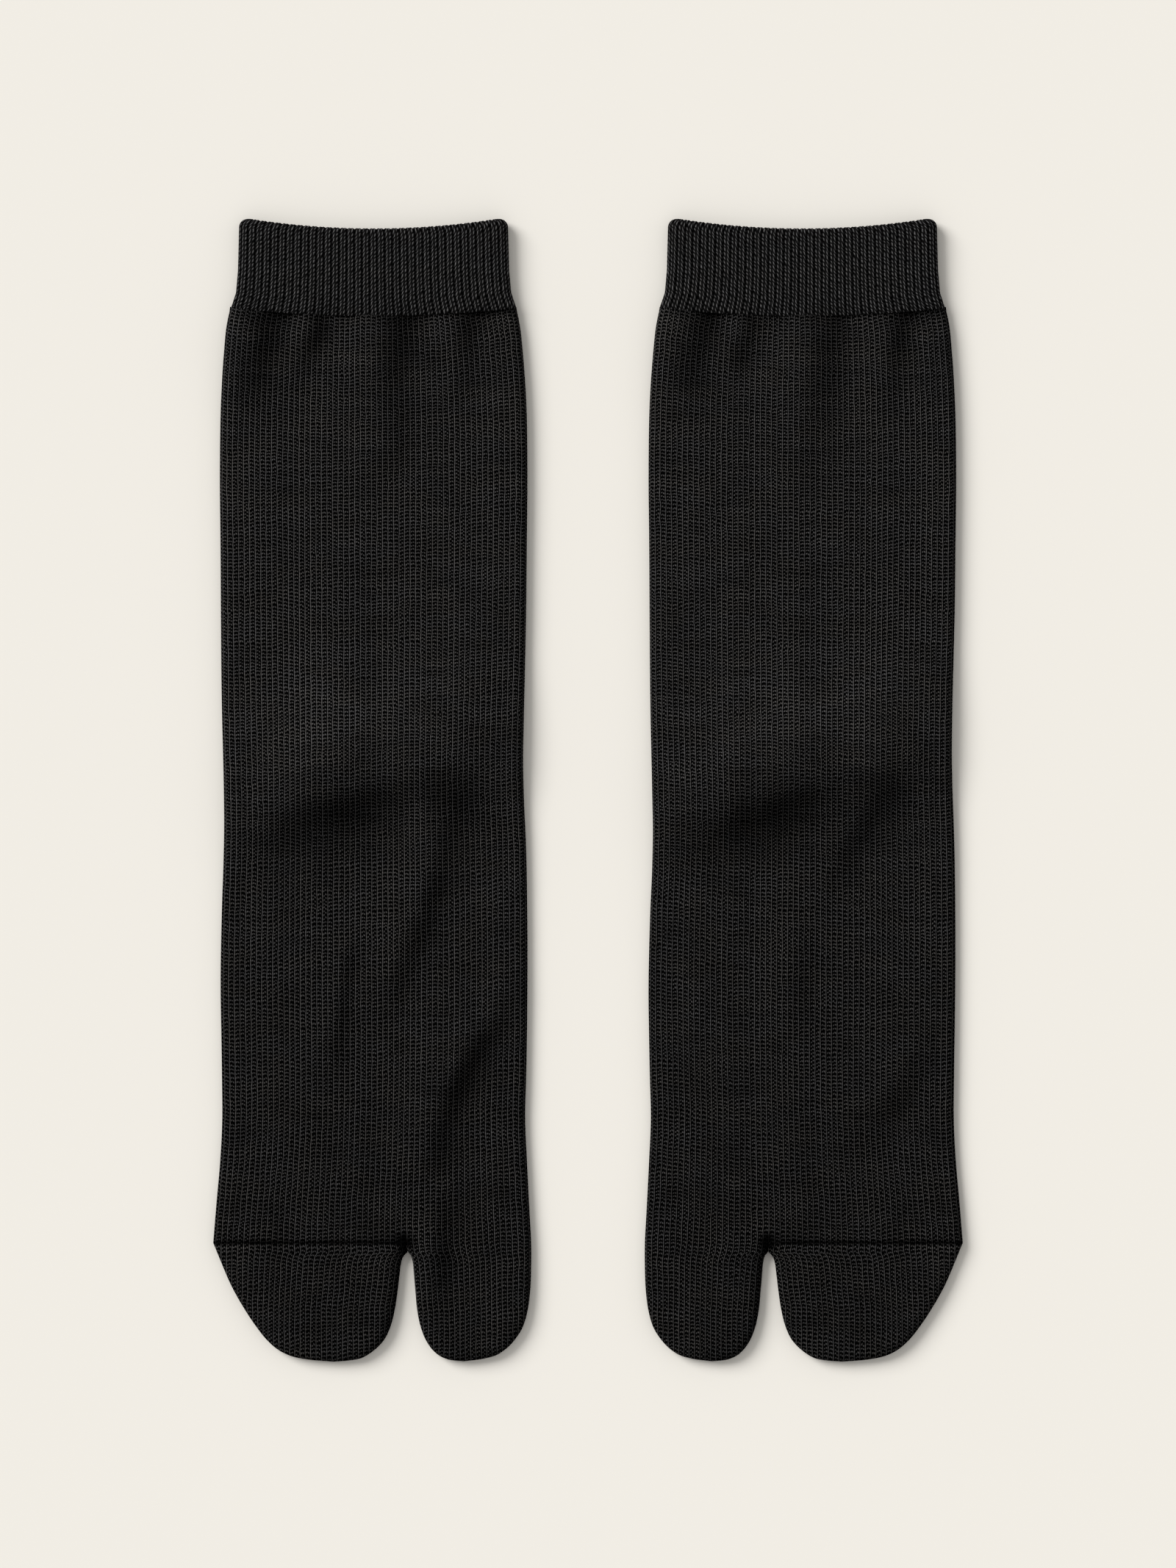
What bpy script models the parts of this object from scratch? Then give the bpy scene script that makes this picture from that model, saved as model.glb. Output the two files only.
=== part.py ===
"""Pair of knitted split-toe socks, laid flat side by side with the instep up.

The frame: +X is to the right, +Y runs from the toes to the cuffs and +Z is up. The origin is at the middle of the
pair, on the surface that it lies on. The right-foot sock is at -X and the left-foot sock at +X, so that their big
toes face each other. Each sock is a flattened tube: a top panel and an under panel of knitted cloth that meet in
rounded edges, with a real wall and a thin hollow between them.

Sizes are in millimetres until a finished piece goes into its mesh. Points across a sock are counted from the
sock's own centre line towards its big toe.
"""

from collections import namedtuple

import bmesh
import bpy
import numpy as np

MM = 0.001

# Driving dimensions.
CENTRE_LINE = 64.1  # from the middle of the pair to each sock's own centre line
SEAM_GAP = 0.3  # between pieces that are joined
CLOTH = 1.6  # thickness of the knitted wall
CUFF_THICKNESS = 5.8  # over both walls and their ribs
CUFF_CLOTH = 1.9  # the cuff's wall, up to the bottom of its ribs
RIBS = 41  # round the cuff's upper face and its two edges
RIB_RISE = 0.6
CUFF_SEAM = 144.0  # the corners of the line where the cuff is knitted on
CUFF_LENGTH = 27.7
CUFF_SEAM_HALF_WIDTH = 42.8
CUFF_SEAM_SAG = 2.4  # how far the middle of that line hangs below its corners
CUFF_TOP_SAG = 3.9
CUFF_CORNER = 2.9  # radius of the cuff's upper corners
CUFF_UNDER_STEPS = 12
TOE_SEAM = -135.4  # the linking seam across the base of the four-toe pocket
TOE_TIP = -170.8
CLEFT = 9.8  # how far the cleft between the toes lies from the centre line
HEEL_SEAM = 0.0  # the middle of the fold where the heel pouch turns under
HEEL_LENGTH = 26.0
HEEL_HALF_WIDTH = 31.0
HEEL_CLOTH = 1.0
HEEL_THICKNESS = 2.7  # of the folded pouch at its seam
HEEL_TIP_THICKNESS = 2.3

# Thickness of the flattened sock, over both panels, along its length.
Thickness = namedtuple("Thickness", "y height")
BODY_THICKNESS = (
    Thickness(-172, 4.4),
    Thickness(-135, 4.0),
    Thickness(-110, 3.6),
    Thickness(-40, 3.6),
    Thickness(0, 4.3),
    Thickness(40, 4.6),
    Thickness(144, 4.8),
)

# The outline seen from above. x counts from the sock's centre line towards the big toe.
Point = namedtuple("Point", "x y")
LITTLE_TOE_SIDE = (
    Point(-42.9, 144),
    Point(-43.8, 139.8),
    Point(-44.8, 130),
    Point(-45.6, 117),
    Point(-46.0, 95),
    Point(-45.8, 73),
    Point(-45.5, 39),
    Point(-44.8, 10),
    Point(-44.7, 0),
    Point(-44.9, -11),
    Point(-45.4, -25),
    Point(-45.8, -50),
    Point(-45.4, -86),
    Point(-45.3, -98),
    Point(-46.0, -112),
    Point(-46.9, -122),
    Point(-48.0, -135.4),
)
FOUR_TOE_SIDE = (
    Point(-48.0, -135.4),
    Point(-46.0, -140.3),
    Point(-42.5, -148.4),
    Point(-38.9, -154.8),
    Point(-35.4, -160.1),
    Point(-31.9, -164.5),
    Point(-28.4, -167.5),
    Point(-24.9, -169.2),
    Point(-19.6, -170.3),
    Point(-12.0, -170.95),
)
FOUR_TOE_GAP_SIDE = (
    Point(-12.0, -170.95),
    Point(-7.3, -170.6),
    Point(-3.7, -169.9),
    Point(-0.2, -167.8),
    Point(3.3, -164.2),
    Point(5.1, -160.3),
    Point(6.4, -155.0),
    Point(7.4, -148.0),
    Point(8.2, -143.0),
    Point(9.1, -139.4),
    Point(9.5, -135.4),
)
BIG_TOE_GAP_SIDE = (
    Point(9.8, -135.4),
    Point(10.7, -139.4),
    Point(11.8, -143.0),
    Point(12.4, -150.0),
    Point(13.0, -155.5),
    Point(14.1, -160.7),
    Point(15.7, -164.7),
    Point(17.5, -167.3),
    Point(19.7, -169.2),
    Point(22.0, -170.2),
    Point(27.0, -170.85),
)
BIG_TOE_SIDE = (
    Point(27.0, -170.85),
    Point(33.2, -170.0),
    Point(36.7, -169.0),
    Point(39.5, -167.2),
    Point(42.3, -164.3),
    Point(44.6, -160.6),
    Point(46.0, -155.9),
    Point(46.8, -150.0),
    Point(47.1, -143.0),
    Point(47.1, -135.4),
    Point(46.6, -126),
    Point(45.9, -112),
    Point(45.3, -98),
    Point(45.6, -86),
    Point(46.0, -50),
    Point(45.5, -25),
    Point(44.9, -11),
    Point(44.7, 0),
    Point(44.9, 10),
    Point(45.5, 39),
    Point(45.8, 73),
    Point(46.0, 95),
    Point(45.6, 117),
    Point(44.7, 130),
    Point(43.6, 139.8),
    Point(42.7, 144),
)

# A rib's points, as parts of its pitch, and how deep each is sunk below its crest, as parts of its rise.
RIB_PLACES = (0.0, 0.3, 0.7)
RIB_SINKS = (1.0, 0.0, 0.0)

# The cuff's half width at heights above its seam, before its upper corners are rounded.
CuffWidth = namedtuple("CuffWidth", "rise half_width")
CUFF_WIDTHS = (
    CuffWidth(0.0, CUFF_SEAM_HALF_WIDTH),
    CuffWidth(5.0, 41.2),
    CuffWidth(12.0, 40.6),
    CuffWidth(CUFF_LENGTH, 40.2),
)

# The cloth's largest folds. Each is a soft ridge of the top panel along a path. Here x counts from the sock's centre
# line to +X on both socks, height is the rise at that place, and the reaches are its spread to -X and to +X.
Crest = namedtuple("Crest", "x y height")
Fold = namedtuple("Fold", "reach_left reach_right path")
RIGHT_FOOT_FOLDS = (
    Fold(7, 7, (Crest(-37, 145, 0.9), Crest(-38, 137, 2.6), Crest(-40, 126, 2.0), Crest(-42, 108, 0))),
    Fold(4, 4.2, (Crest(-18, 145, 0.8), Crest(-20, 138, 1.9), Crest(-24, 130, 1.2), Crest(-27, 118, 0))),
    Fold(9, 7, (Crest(4, 145, 1.2), Crest(1, 135, 2.6), Crest(-1, 122, 1.7), Crest(1, 106, 1.0), Crest(-9, 86, 0))),
    Fold(7, 4.5, (Crest(24, 145, 0.3), Crest(24, 137, 1.4), Crest(24, 128, 0.9), Crest(22, 112, 0))),
    Fold(14, 12, (Crest(-15, 44, 0), Crest(-14, 26, 1.2), Crest(-9, 12, 0.8), Crest(-4, 3, 0))),
    Fold(10, 5, (Crest(22, 2, 0.4), Crest(16, -24, 2.3), Crest(9, -44, 2.5), Crest(-3, -74, 0))),
    Fold(4, 2.8, (Crest(-7, -38, 0), Crest(-10, -55, 1.2), Crest(-12, -72, 1.1), Crest(-15, -90, 0))),
    Fold(11, 5, (Crest(40, -60, 0.4), Crest(26, -78, 2.6), Crest(17, -100, 1.9), Crest(13, -122, 0))),
    Fold(3.4, 4.4, (Crest(20, -112, 0), Crest(18, -130, 1.6), Crest(17, -145, 1.8), Crest(16, -160, 0))),
)
LEFT_FOOT_FOLDS = (
    Fold(7, 7, (Crest(-36, 145, 0.9), Crest(-37, 137, 2.7), Crest(-39, 127, 2.0), Crest(-42, 108, 0))),
    Fold(4, 4.2, (Crest(-18, 145, 0.8), Crest(-19, 138, 1.7), Crest(-22, 131, 1.0), Crest(-24, 120, 0))),
    Fold(9, 7, (Crest(4, 145, 1.2), Crest(2, 135, 2.7), Crest(0, 118, 1.5), Crest(-2, 104, 1.0), Crest(-9, 86, 0))),
    Fold(8, 4.5, (Crest(25, 145, 0.3), Crest(25, 137, 1.7), Crest(24, 127, 1.2), Crest(22, 110, 0))),
    Fold(14, 12, (Crest(-8, 44, 0), Crest(-8, 26, 1.2), Crest(-6, 12, 0.8), Crest(-4, 3, 0))),
    Fold(9, 5, (Crest(24, 4, 0.6), Crest(15, -9, 2.2), Crest(6, -24, 1.2), Crest(-1, -46, 0))),
    Fold(6, 5, (Crest(-3, -36, 0), Crest(-5, -58, 0.9), Crest(-5, -80, 0))),
    Fold(12, 6, (Crest(36, -70, 0.2), Crest(25, -88, 1.4), Crest(12, -108, 0))),
)

# The top panel swells over the folded heel: it rises steeply from the foot to a crest and falls gently up the leg.
SWELL_HEIGHT = 5.4
SWELL_FOOT = -8.0
SWELL_TOP = 3.5
SWELL_CREST = 8.0
SWELL_END = 38.0

# side is 1 where the big toe points to +X and -1 where it points to -X. The heel, and the swell over it, lie aslant:
# slant is their rise in y for each step to +X.
Sock = namedtuple("Sock", "name side folds slant")
SOCKS = (
    Sock("right_foot", 1, RIGHT_FOOT_FOLDS, 0.22),
    Sock("left_foot", -1, LEFT_FOOT_FOLDS, 0.26),
)

# Rows of points along the leg and foot: from y, to y and the number of steps between them. The under panel steps up
# onto the heel pouch just above the heel's seam, so a pair of rows lies close together there.
HEEL_STEP_LOW = HEEL_SEAM - SEAM_GAP - 0.2
HEEL_STEP_HIGH = HEEL_SEAM - SEAM_GAP
Stretch = namedtuple("Stretch", "start end steps")
OUTER_ROWS = (
    Stretch(CUFF_SEAM - SEAM_GAP, 120, 6),
    Stretch(120, 60, 5),
    Stretch(60, HEEL_STEP_HIGH, 9),
    Stretch(HEEL_STEP_HIGH, HEEL_STEP_LOW, 1),
    Stretch(HEEL_STEP_LOW, -12, 4),
    Stretch(-12, -122, 11),
    Stretch(-122, TOE_SEAM, 3),
)
INNER_ROWS = (
    Stretch(CUFF_SEAM - SEAM_GAP, 120, 3),
    Stretch(120, 60, 2),
    Stretch(60, HEEL_STEP_HIGH - CLOTH, 5),
    Stretch(HEEL_STEP_HIGH - CLOTH, HEEL_STEP_LOW - CLOTH, 1),
    Stretch(HEEL_STEP_LOW - CLOTH, -12, 2),
    Stretch(-12, -122, 5),
    Stretch(-122, TOE_SEAM + CLOTH, 1),
)
OUTER_TOE_STEPS = 10
INNER_TOE_STEPS = 6

# Steps across a panel, on the four toes' side of the cleft and on the big toe's side.
Across = namedtuple("Across", "four_toes big_toe")
TOP_STEPS = Across(13, 9)
UNDER_STEPS = Across(8, 6)

BLACK_KNIT = (0.019, 0.0185, 0.018)


def smooth_curve(points, steps=8):
    """Closely spaced points along a smooth curve through all the given ones."""
    points = np.array(points, float)
    travelled = np.cumsum(np.linalg.norm(np.diff(points[:, :2], axis=0), axis=1))
    travelled = np.concatenate([[0.0], travelled])
    slope = np.gradient(points, travelled, axis=0)
    t = np.linspace(0.0, 1.0, steps + 1)[1:, None]
    curve = [points[:1]]
    for i, length in enumerate(np.diff(travelled)):
        curve.append(
            points[i] * (2 * t**3 - 3 * t**2 + 1)
            + slope[i] * length * (t**3 - 2 * t**2 + t)
            + points[i + 1] * (3 * t**2 - 2 * t**3)
            + slope[i + 1] * length * (t**3 - t**2)
        )
    return np.concatenate(curve)


def soft_step(value):
    """0 up to 0, 1 from 1 on, and a soft rise between them."""
    t = np.clip(value, 0.0, 1.0)
    return t * t * (3.0 - 2.0 * t)


def column(table, name):
    return np.array([getattr(row, name) for row in table], float)


LITTLE_EDGE = smooth_curve(LITTLE_TOE_SIDE)
FOUR_EDGE = smooth_curve(FOUR_TOE_SIDE)
FOUR_GAP_EDGE = smooth_curve(FOUR_TOE_GAP_SIDE)
BIG_GAP_EDGE = smooth_curve(BIG_TOE_GAP_SIDE)
BIG_EDGE = smooth_curve(BIG_TOE_SIDE)
OUTLINE = (np.concatenate([LITTLE_EDGE, FOUR_EDGE, FOUR_GAP_EDGE]), np.concatenate([BIG_GAP_EDGE, BIG_EDGE]))


def distance_to(x, y, curves):
    """Distance from each place to the nearest of some curves, which are lists of close points."""
    places = np.stack([np.ravel(x), np.ravel(y)], axis=-1)
    nearest = np.full(len(places), np.inf)
    for curve in curves:
        start = curve[:-1]
        run = np.diff(curve, axis=0)
        length = np.maximum((run**2).sum(axis=1), 1e-9)
        offset = places[:, None] - start
        along = np.clip((offset * run).sum(axis=2) / length, 0.0, 1.0)
        away = np.linalg.norm(offset - along[..., None] * run, axis=2).min(axis=1)
        nearest = np.minimum(nearest, away)
    return nearest.reshape(np.shape(x))


def edge_x(edge, y):
    """Where an edge of the outline crosses a row."""
    upwards = edge[np.argsort(edge[:, 1])]
    return float(np.interp(y, upwards[:, 1], upwards[:, 0]))


def row_ends(y, inset, left_edge, right_edge):
    """The two ends of a row: on the outline, or as far inside it as the inset."""
    left, right = edge_x(left_edge, y), edge_x(right_edge, y)
    if not inset:
        return left, right
    reach = np.linspace(0.0, min(right - left, 30.0), 301)
    ends = []
    for edge, inwards in ((left, 1.0), (right, -1.0)):
        line = edge + inwards * reach
        depth = distance_to(line, np.full_like(line, y), OUTLINE)
        first = int(np.argmax(depth >= inset))
        ends.append(float(np.interp(inset, depth[first - 1 : first + 1], line[first - 1 : first + 1])))
    return ends


def spread(left, right, steps, radius):
    """Places across a panel: close together in its rounded edges, evenly spaced elsewhere."""
    radius = min(radius, (right - left) / 5.0)
    flat = np.linspace(left + radius, right - radius, steps - 3)
    near = 0.3 * radius
    return np.concatenate([[left, left + near], flat, [right - near, right]])


def leg_places(y, steps, inset):
    """Places across a row of the leg and foot, which crowd towards the cleft in the rows close to it."""
    left, right = row_ends(y, inset, LITTLE_EDGE, BIG_EDGE)
    radius = body_thickness(y) / 2 - inset
    even = spread(left, right, steps.four_toes + steps.big_toe, radius)
    four_toes = spread(left, CLEFT, steps.four_toes, radius)
    big_toe = spread(CLEFT, right, steps.big_toe, radius)
    split = np.concatenate([four_toes, big_toe[1:]])
    return even + (split - even) * soft_step((TOE_SEAM + 45.0 - y) / 40.0)


def pocket_places(y, steps, inset, left_edge, right_edge):
    """Places across a row of a toe's pocket. The wall of the cleft is round, so both pockets start at its middle."""
    left, right = row_ends(y, inset, left_edge, right_edge)
    if y > TOE_SEAM + inset - 0.001 and left_edge is BIG_GAP_EDGE:
        left = CLEFT
    if y > TOE_SEAM + inset - 0.001 and inset and right_edge is FOUR_GAP_EDGE:
        right = CLEFT
    return spread(left, right, steps, body_thickness(y) / 2 - inset)


def leg_rows(stretches):
    """Places along the leg and foot, from the cuff down to the cleft."""
    rows = [np.linspace(s.start, s.end, s.steps + 1)[1:] for s in stretches]
    return np.concatenate([[stretches[0].start]] + rows)


def pocket_rows(start, steps, inset):
    """Places down a toe's pocket, closer together where its tip rounds over."""
    radius = body_thickness(TOE_TIP) / 2 - inset
    tip = TOE_TIP + inset + (0.2 if inset else 0.0)
    rounding = tip + radius * np.array([1.0, 0.3, 0.0])
    return np.concatenate([np.linspace(start, tip + 2.5 * radius, steps - 2), rounding])


def body_thickness(y):
    return np.interp(y, column(BODY_THICKNESS, "y"), column(BODY_THICKNESS, "height"))


def heel_thickness(y):
    """Thickness of the folded heel pouch, which thins towards its tip."""
    return np.interp(y, [HEEL_SEAM, HEEL_SEAM + HEEL_LENGTH], [HEEL_THICKNESS, HEEL_TIP_THICKNESS])


def heel_outline():
    """The half-moon edge of the heel pouch, from one end of its seam round to the other."""
    turn = np.linspace(0.0, np.pi, 61)
    x = -HEEL_HALF_WIDTH * np.cos(turn)
    return np.stack([x, HEEL_SEAM + HEEL_LENGTH * np.sin(turn)], axis=-1)


def heel_lift(x, y):
    """How far the under panel lies off the surface, because the heel pouch is folded beneath it."""
    up_leg = np.maximum(y - HEEL_SEAM, 0.0) / (HEEL_LENGTH + 1.0)
    off_pouch = np.hypot(x / (HEEL_HALF_WIDTH + 5.0), up_leg) - 1.0
    lift = (heel_thickness(y) + SEAM_GAP) * (1.0 - soft_step(off_pouch / 0.28))
    return np.where(y > HEEL_STEP_HIGH - 0.05, lift, 0.0)


def fold_height(x, y, folds):
    """Rise of the top panel over its folds. x counts to +X."""
    total = np.zeros(np.shape(x))
    for fold in folds:
        path = smooth_curve(fold.path, steps=16)
        away = np.hypot(x[..., None] - path[:, 0], y[..., None] - path[:, 1])
        nearest = away.argmin(axis=-1)
        reach = np.where(x < path[nearest, 0], fold.reach_left, fold.reach_right)
        total += np.maximum(path[nearest, 2], 0.0) * np.exp(-((away.min(axis=-1) / reach) ** 2))
    return total


def swell_height(x, y):
    """Rise of the top panel over the folded heel."""
    foot = SWELL_FOOT - 9.0 * (x / 40.0) ** 2
    steep_side = soft_step((y - foot) / (SWELL_TOP - foot))
    gentle_side = 1.0 - soft_step((y - SWELL_CREST) / (SWELL_END - SWELL_CREST))
    edges = 1.0 - 0.8 * soft_step((np.abs(x) - 18.0) / 30.0)
    return SWELL_HEIGHT * steep_side * gentle_side * edges


def laid(x, y, sock):
    """Where a row's places lie: aslant at the ankle, and hanging in the middle below the cuff's curved seam."""
    near_ankle = 1.0 - soft_step((np.abs(y - HEEL_SEAM) - 28.0) / 50.0)
    near_cuff = soft_step((y - 84.0) / (CUFF_SEAM - 84.0))
    hang = CUFF_SEAM_SAG * (1.0 - np.minimum(x / CUFF_SEAM_HALF_WIDTH, 1.0) ** 2)
    return y + sock.slant * sock.side * x * near_ankle - hang * near_cuff


def panel_points(x, y, inset, sock):
    """The top panel and the under panel over the places x, y: their outer faces, or their inner ones if inset.

    The first and the last place of each row is on the edge, where the two panels meet.
    """
    depth = np.maximum(distance_to(x, y, OUTLINE) - inset, 0.0)
    depth[:, [0, -1]] = 0.0
    thickness = body_thickness(y)
    laid_y = laid(x, y, sock)
    crown = thickness + fold_height(sock.side * x, laid_y, sock.folds) + swell_height(x, y)
    under = heel_lift(x, y + inset)
    middle = (crown + under) / 2
    half = (crown - under) / 2 - inset
    rounded = np.sqrt(1.0 - (1.0 - np.clip(depth / (thickness / 2 - inset), 0.0, 1.0)) ** 2)
    return [np.stack([x, laid_y, middle + face * half * rounded], axis=-1) for face in (1.0, -1.0)]


def grid_of(rows, places):
    """x and y at each place of each row."""
    x = np.stack(places)
    return x, np.repeat(np.array(rows)[:, None], x.shape[1], axis=1)


def add_panel(bm, points):
    """Lays a grid of faces over an array of points: rows, then places across, then x, y and z."""
    rows, places = points.shape[:2]
    grid = bmesh.ops.create_grid(bm, x_segments=places - 1, y_segments=rows - 1, size=1.0)
    for vert, point in zip(grid["verts"], points.reshape(-1, 3)):
        vert.co = point


def add_lip(bm, outer_row, inner_row):
    """Closes the edge of an opening, from the wall's outer face to its inner one."""
    add_panel(bm, np.stack([outer_row, inner_row]))


def finish_piece(bm, sock, name):
    """Welds a piece's panels, closes the tips of its pockets, sets it in its place and makes its object."""
    bmesh.ops.remove_doubles(bm, verts=bm.verts, dist=0.001)
    bmesh.ops.holes_fill(bm, edges=[edge for edge in bm.edges if edge.is_boundary], sides=0)
    for vert in bm.verts:
        vert.co.x = sock.side * (vert.co.x - CENTRE_LINE)
        vert.co *= MM
    bmesh.ops.recalc_face_normals(bm, faces=bm.faces)
    if bm.calc_volume(signed=True) < 0.0:
        bmesh.ops.reverse_faces(bm, faces=bm.faces)
    mesh = bpy.data.meshes.new(f"{sock.name}_{name}")
    bm.to_mesh(mesh)
    bm.free()
    mesh.shade_smooth()
    mesh.set_sharp_from_angle(angle=np.radians(50.0))
    mesh.materials.append(knit_material(f"{sock.name}_{name}"))
    piece = bpy.data.objects.new(f"{sock.name}_{name}", mesh)
    bpy.context.scene.collection.objects.link(piece)


def knit_material(name):
    material = bpy.data.materials.new(name)
    material.use_nodes = True
    shader = material.node_tree.nodes["Principled BSDF"]
    shader.inputs["Base Color"].default_value = (*BLACK_KNIT, 1.0)
    shader.inputs["Roughness"].default_value = 0.92
    shader.inputs["Metallic"].default_value = 0.0
    return material


def make_body(sock):
    """Leg, instep, sole and the big toe's pocket in one piece, open at the cuff and at the four toes."""
    bm = bmesh.new()
    for is_top, steps in ((0, TOP_STEPS), (1, UNDER_STEPS)):
        cuff_edges = []
        toe_edges = []
        for inset, stretches, toe_steps in (
            (0.0, OUTER_ROWS, OUTER_TOE_STEPS),
            (CLOTH, INNER_ROWS, INNER_TOE_STEPS),
        ):
            rows = leg_rows(stretches)
            x, y = grid_of(rows, [leg_places(row, steps, inset) for row in rows])
            leg = panel_points(x, y, inset, sock)[is_top]
            add_panel(bm, leg)
            cuff_edges.append(leg[0])
            rows = pocket_rows(rows[-1], toe_steps, inset)
            places = [pocket_places(row, steps.big_toe, inset, BIG_GAP_EDGE, BIG_EDGE) for row in rows]
            big_toe = panel_points(*grid_of(rows, places), inset, sock)[is_top]
            add_panel(bm, big_toe)
            four_toes = leg[-1:, : steps.four_toes + 1]
            if inset:
                rows = np.linspace(TOE_SEAM + inset, TOE_SEAM, 3)
                places = [pocket_places(row, steps.four_toes, inset, LITTLE_EDGE, FOUR_GAP_EDGE) for row in rows]
                four_toes = panel_points(*grid_of(rows, places), inset, sock)[is_top]
                add_panel(bm, four_toes)
            toe_edges.append(four_toes[-1])
        add_lip(bm, *cuff_edges)
        add_lip(bm, *toe_edges)
    finish_piece(bm, sock, "body")


def make_toe_cap(sock):
    """The pocket for the four toes, open at the linking seam."""
    bm = bmesh.new()
    start = TOE_SEAM - SEAM_GAP
    for is_top, steps in ((0, TOP_STEPS), (1, UNDER_STEPS)):
        seam_edges = []
        for inset, toe_steps in ((0.0, OUTER_TOE_STEPS), (CLOTH, INNER_TOE_STEPS)):
            rows = pocket_rows(start, toe_steps, inset)
            places = [pocket_places(row, steps.four_toes, inset, FOUR_EDGE, FOUR_GAP_EDGE) for row in rows]
            pocket = panel_points(*grid_of(rows, places), inset, sock)[is_top]
            add_panel(bm, pocket)
            seam_edges.append(pocket[0])
        add_lip(bm, *seam_edges)
    finish_piece(bm, sock, "toe_cap")


def heel_points(inset, turns, steps, sock):
    """The upper and the lower face of the heel pouch, in rows from its seam to its tip."""
    y = HEEL_SEAM + (HEEL_LENGTH - inset) * np.sin(turns)
    half_widths = (HEEL_HALF_WIDTH - inset) * np.cos(turns)
    x, y = grid_of(y, [spread(-half, half, steps, HEEL_THICKNESS / 2) for half in half_widths])
    depth = np.maximum(distance_to(x, y, [heel_outline()]) - inset, 0.0)
    depth[:, [0, -1]] = 0.0
    thickness = heel_thickness(y)
    rounded = np.sqrt(1.0 - (1.0 - np.clip(depth / (thickness / 2 - inset), 0.0, 1.0)) ** 2)
    half = (thickness / 2 - inset) * rounded
    return [np.stack([x, laid(x, y, sock), thickness / 2 + face * half], axis=-1) for face in (1.0, -1.0)]


def make_heel(sock):
    """The heel pouch, folded flat beneath the ankle and open along its seam."""
    bm = bmesh.new()
    turns = np.radians([0, 14, 28, 43, 58, 70, 80, 86])
    for side, steps in ((0, 10), (1, 8)):
        outer = heel_points(0.0, turns, steps, sock)[side]
        inner = heel_points(HEEL_CLOTH, turns[::-1][::2][::-1], steps, sock)[side]
        add_panel(bm, outer)
        add_panel(bm, inner)
        add_lip(bm, outer[0], inner[0])
    finish_piece(bm, sock, "heel")


def cuff_ring(rise, inset):
    """A row round the cuff: its ribbed upper face and edges, then its plain flat underside."""
    width = np.interp(rise, column(CUFF_WIDTHS, "rise"), column(CUFF_WIDTHS, "half_width"))
    into_corner = max(rise - (CUFF_LENGTH - CUFF_CORNER), 0.0)
    half_width = width - CUFF_CORNER + np.sqrt(CUFF_CORNER**2 - into_corner**2)
    radius = CUFF_THICKNESS / 2
    flat = 2 * (half_width - radius)
    length = flat + 2 * np.pi * radius
    travelled = (np.arange(RIBS)[:, None] + RIB_PLACES).ravel() * length / RIBS
    travelled = np.append(travelled, length)
    sunk = np.append(np.tile(RIB_SINKS, RIBS), RIB_SINKS[0]) * RIB_RISE
    reach = radius - (inset or sunk)
    left_turn = np.clip(travelled / radius, 0.0, np.pi)
    right_turn = np.clip((travelled - np.pi * radius - flat) / radius, 0.0, np.pi)
    along_top = np.clip(travelled - np.pi * radius, 0.0, flat)
    outwards = np.where(right_turn > 0.0, np.sin(right_turn), -np.sin(left_turn))
    x = along_top - flat / 2 + reach * outwards
    z = radius - reach * np.cos(left_turn + right_turn)
    under = np.linspace(flat / 2, -flat / 2, CUFF_UNDER_STEPS + 1)[1:-1]
    x = np.concatenate([x, under, x[:1]])
    z = np.concatenate([z, np.full(len(under), inset), z[:1]])
    sag = np.interp(rise, [0.0, CUFF_LENGTH], [CUFF_SEAM_SAG, CUFF_TOP_SAG])
    y = CUFF_SEAM + rise - sag * (1.0 - np.minimum(x / CUFF_SEAM_HALF_WIDTH, 1.0) ** 2)
    return np.stack([x, y, z], axis=-1)


def make_cuff(sock):
    """The ribbed cuff, open at both ends, with its ribs raised over a plain inner face."""
    bm = bmesh.new()
    bend = CUFF_LENGTH - CUFF_CORNER
    outer = np.stack([cuff_ring(rise, 0.0) for rise in (0.0, 5.0, bend, bend + 0.7 * CUFF_CORNER, CUFF_LENGTH)])
    inner = np.stack([cuff_ring(rise, CUFF_CLOTH + RIB_RISE) for rise in (0.0, 5.0, bend, CUFF_LENGTH)])
    add_panel(bm, outer)
    add_panel(bm, inner)
    for end in (0, -1):
        add_lip(bm, outer[end], inner[end])
    finish_piece(bm, sock, "cuff")


def remove_objects():
    for item in list(bpy.data.objects):
        bpy.data.objects.remove(item, do_unlink=True)


remove_objects()
for each_sock in SOCKS:
    make_cuff(each_sock)
    make_body(each_sock)
    make_heel(each_sock)
    make_toe_cap(each_sock)
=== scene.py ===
"""A pair of black knitted tabi socks for sandals, laid flat side by side with their insteps up.

+X is to the right, +Y runs from the toes to the cuffs and +Z is up. The right-foot sock is at -X and the
left-foot sock at +X, so that their big toes face each other. Sizes are in millimetres until a finished piece
goes into its mesh. Places across a sock are counted from its own centre line towards its big toe.
"""

from collections import namedtuple

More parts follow.
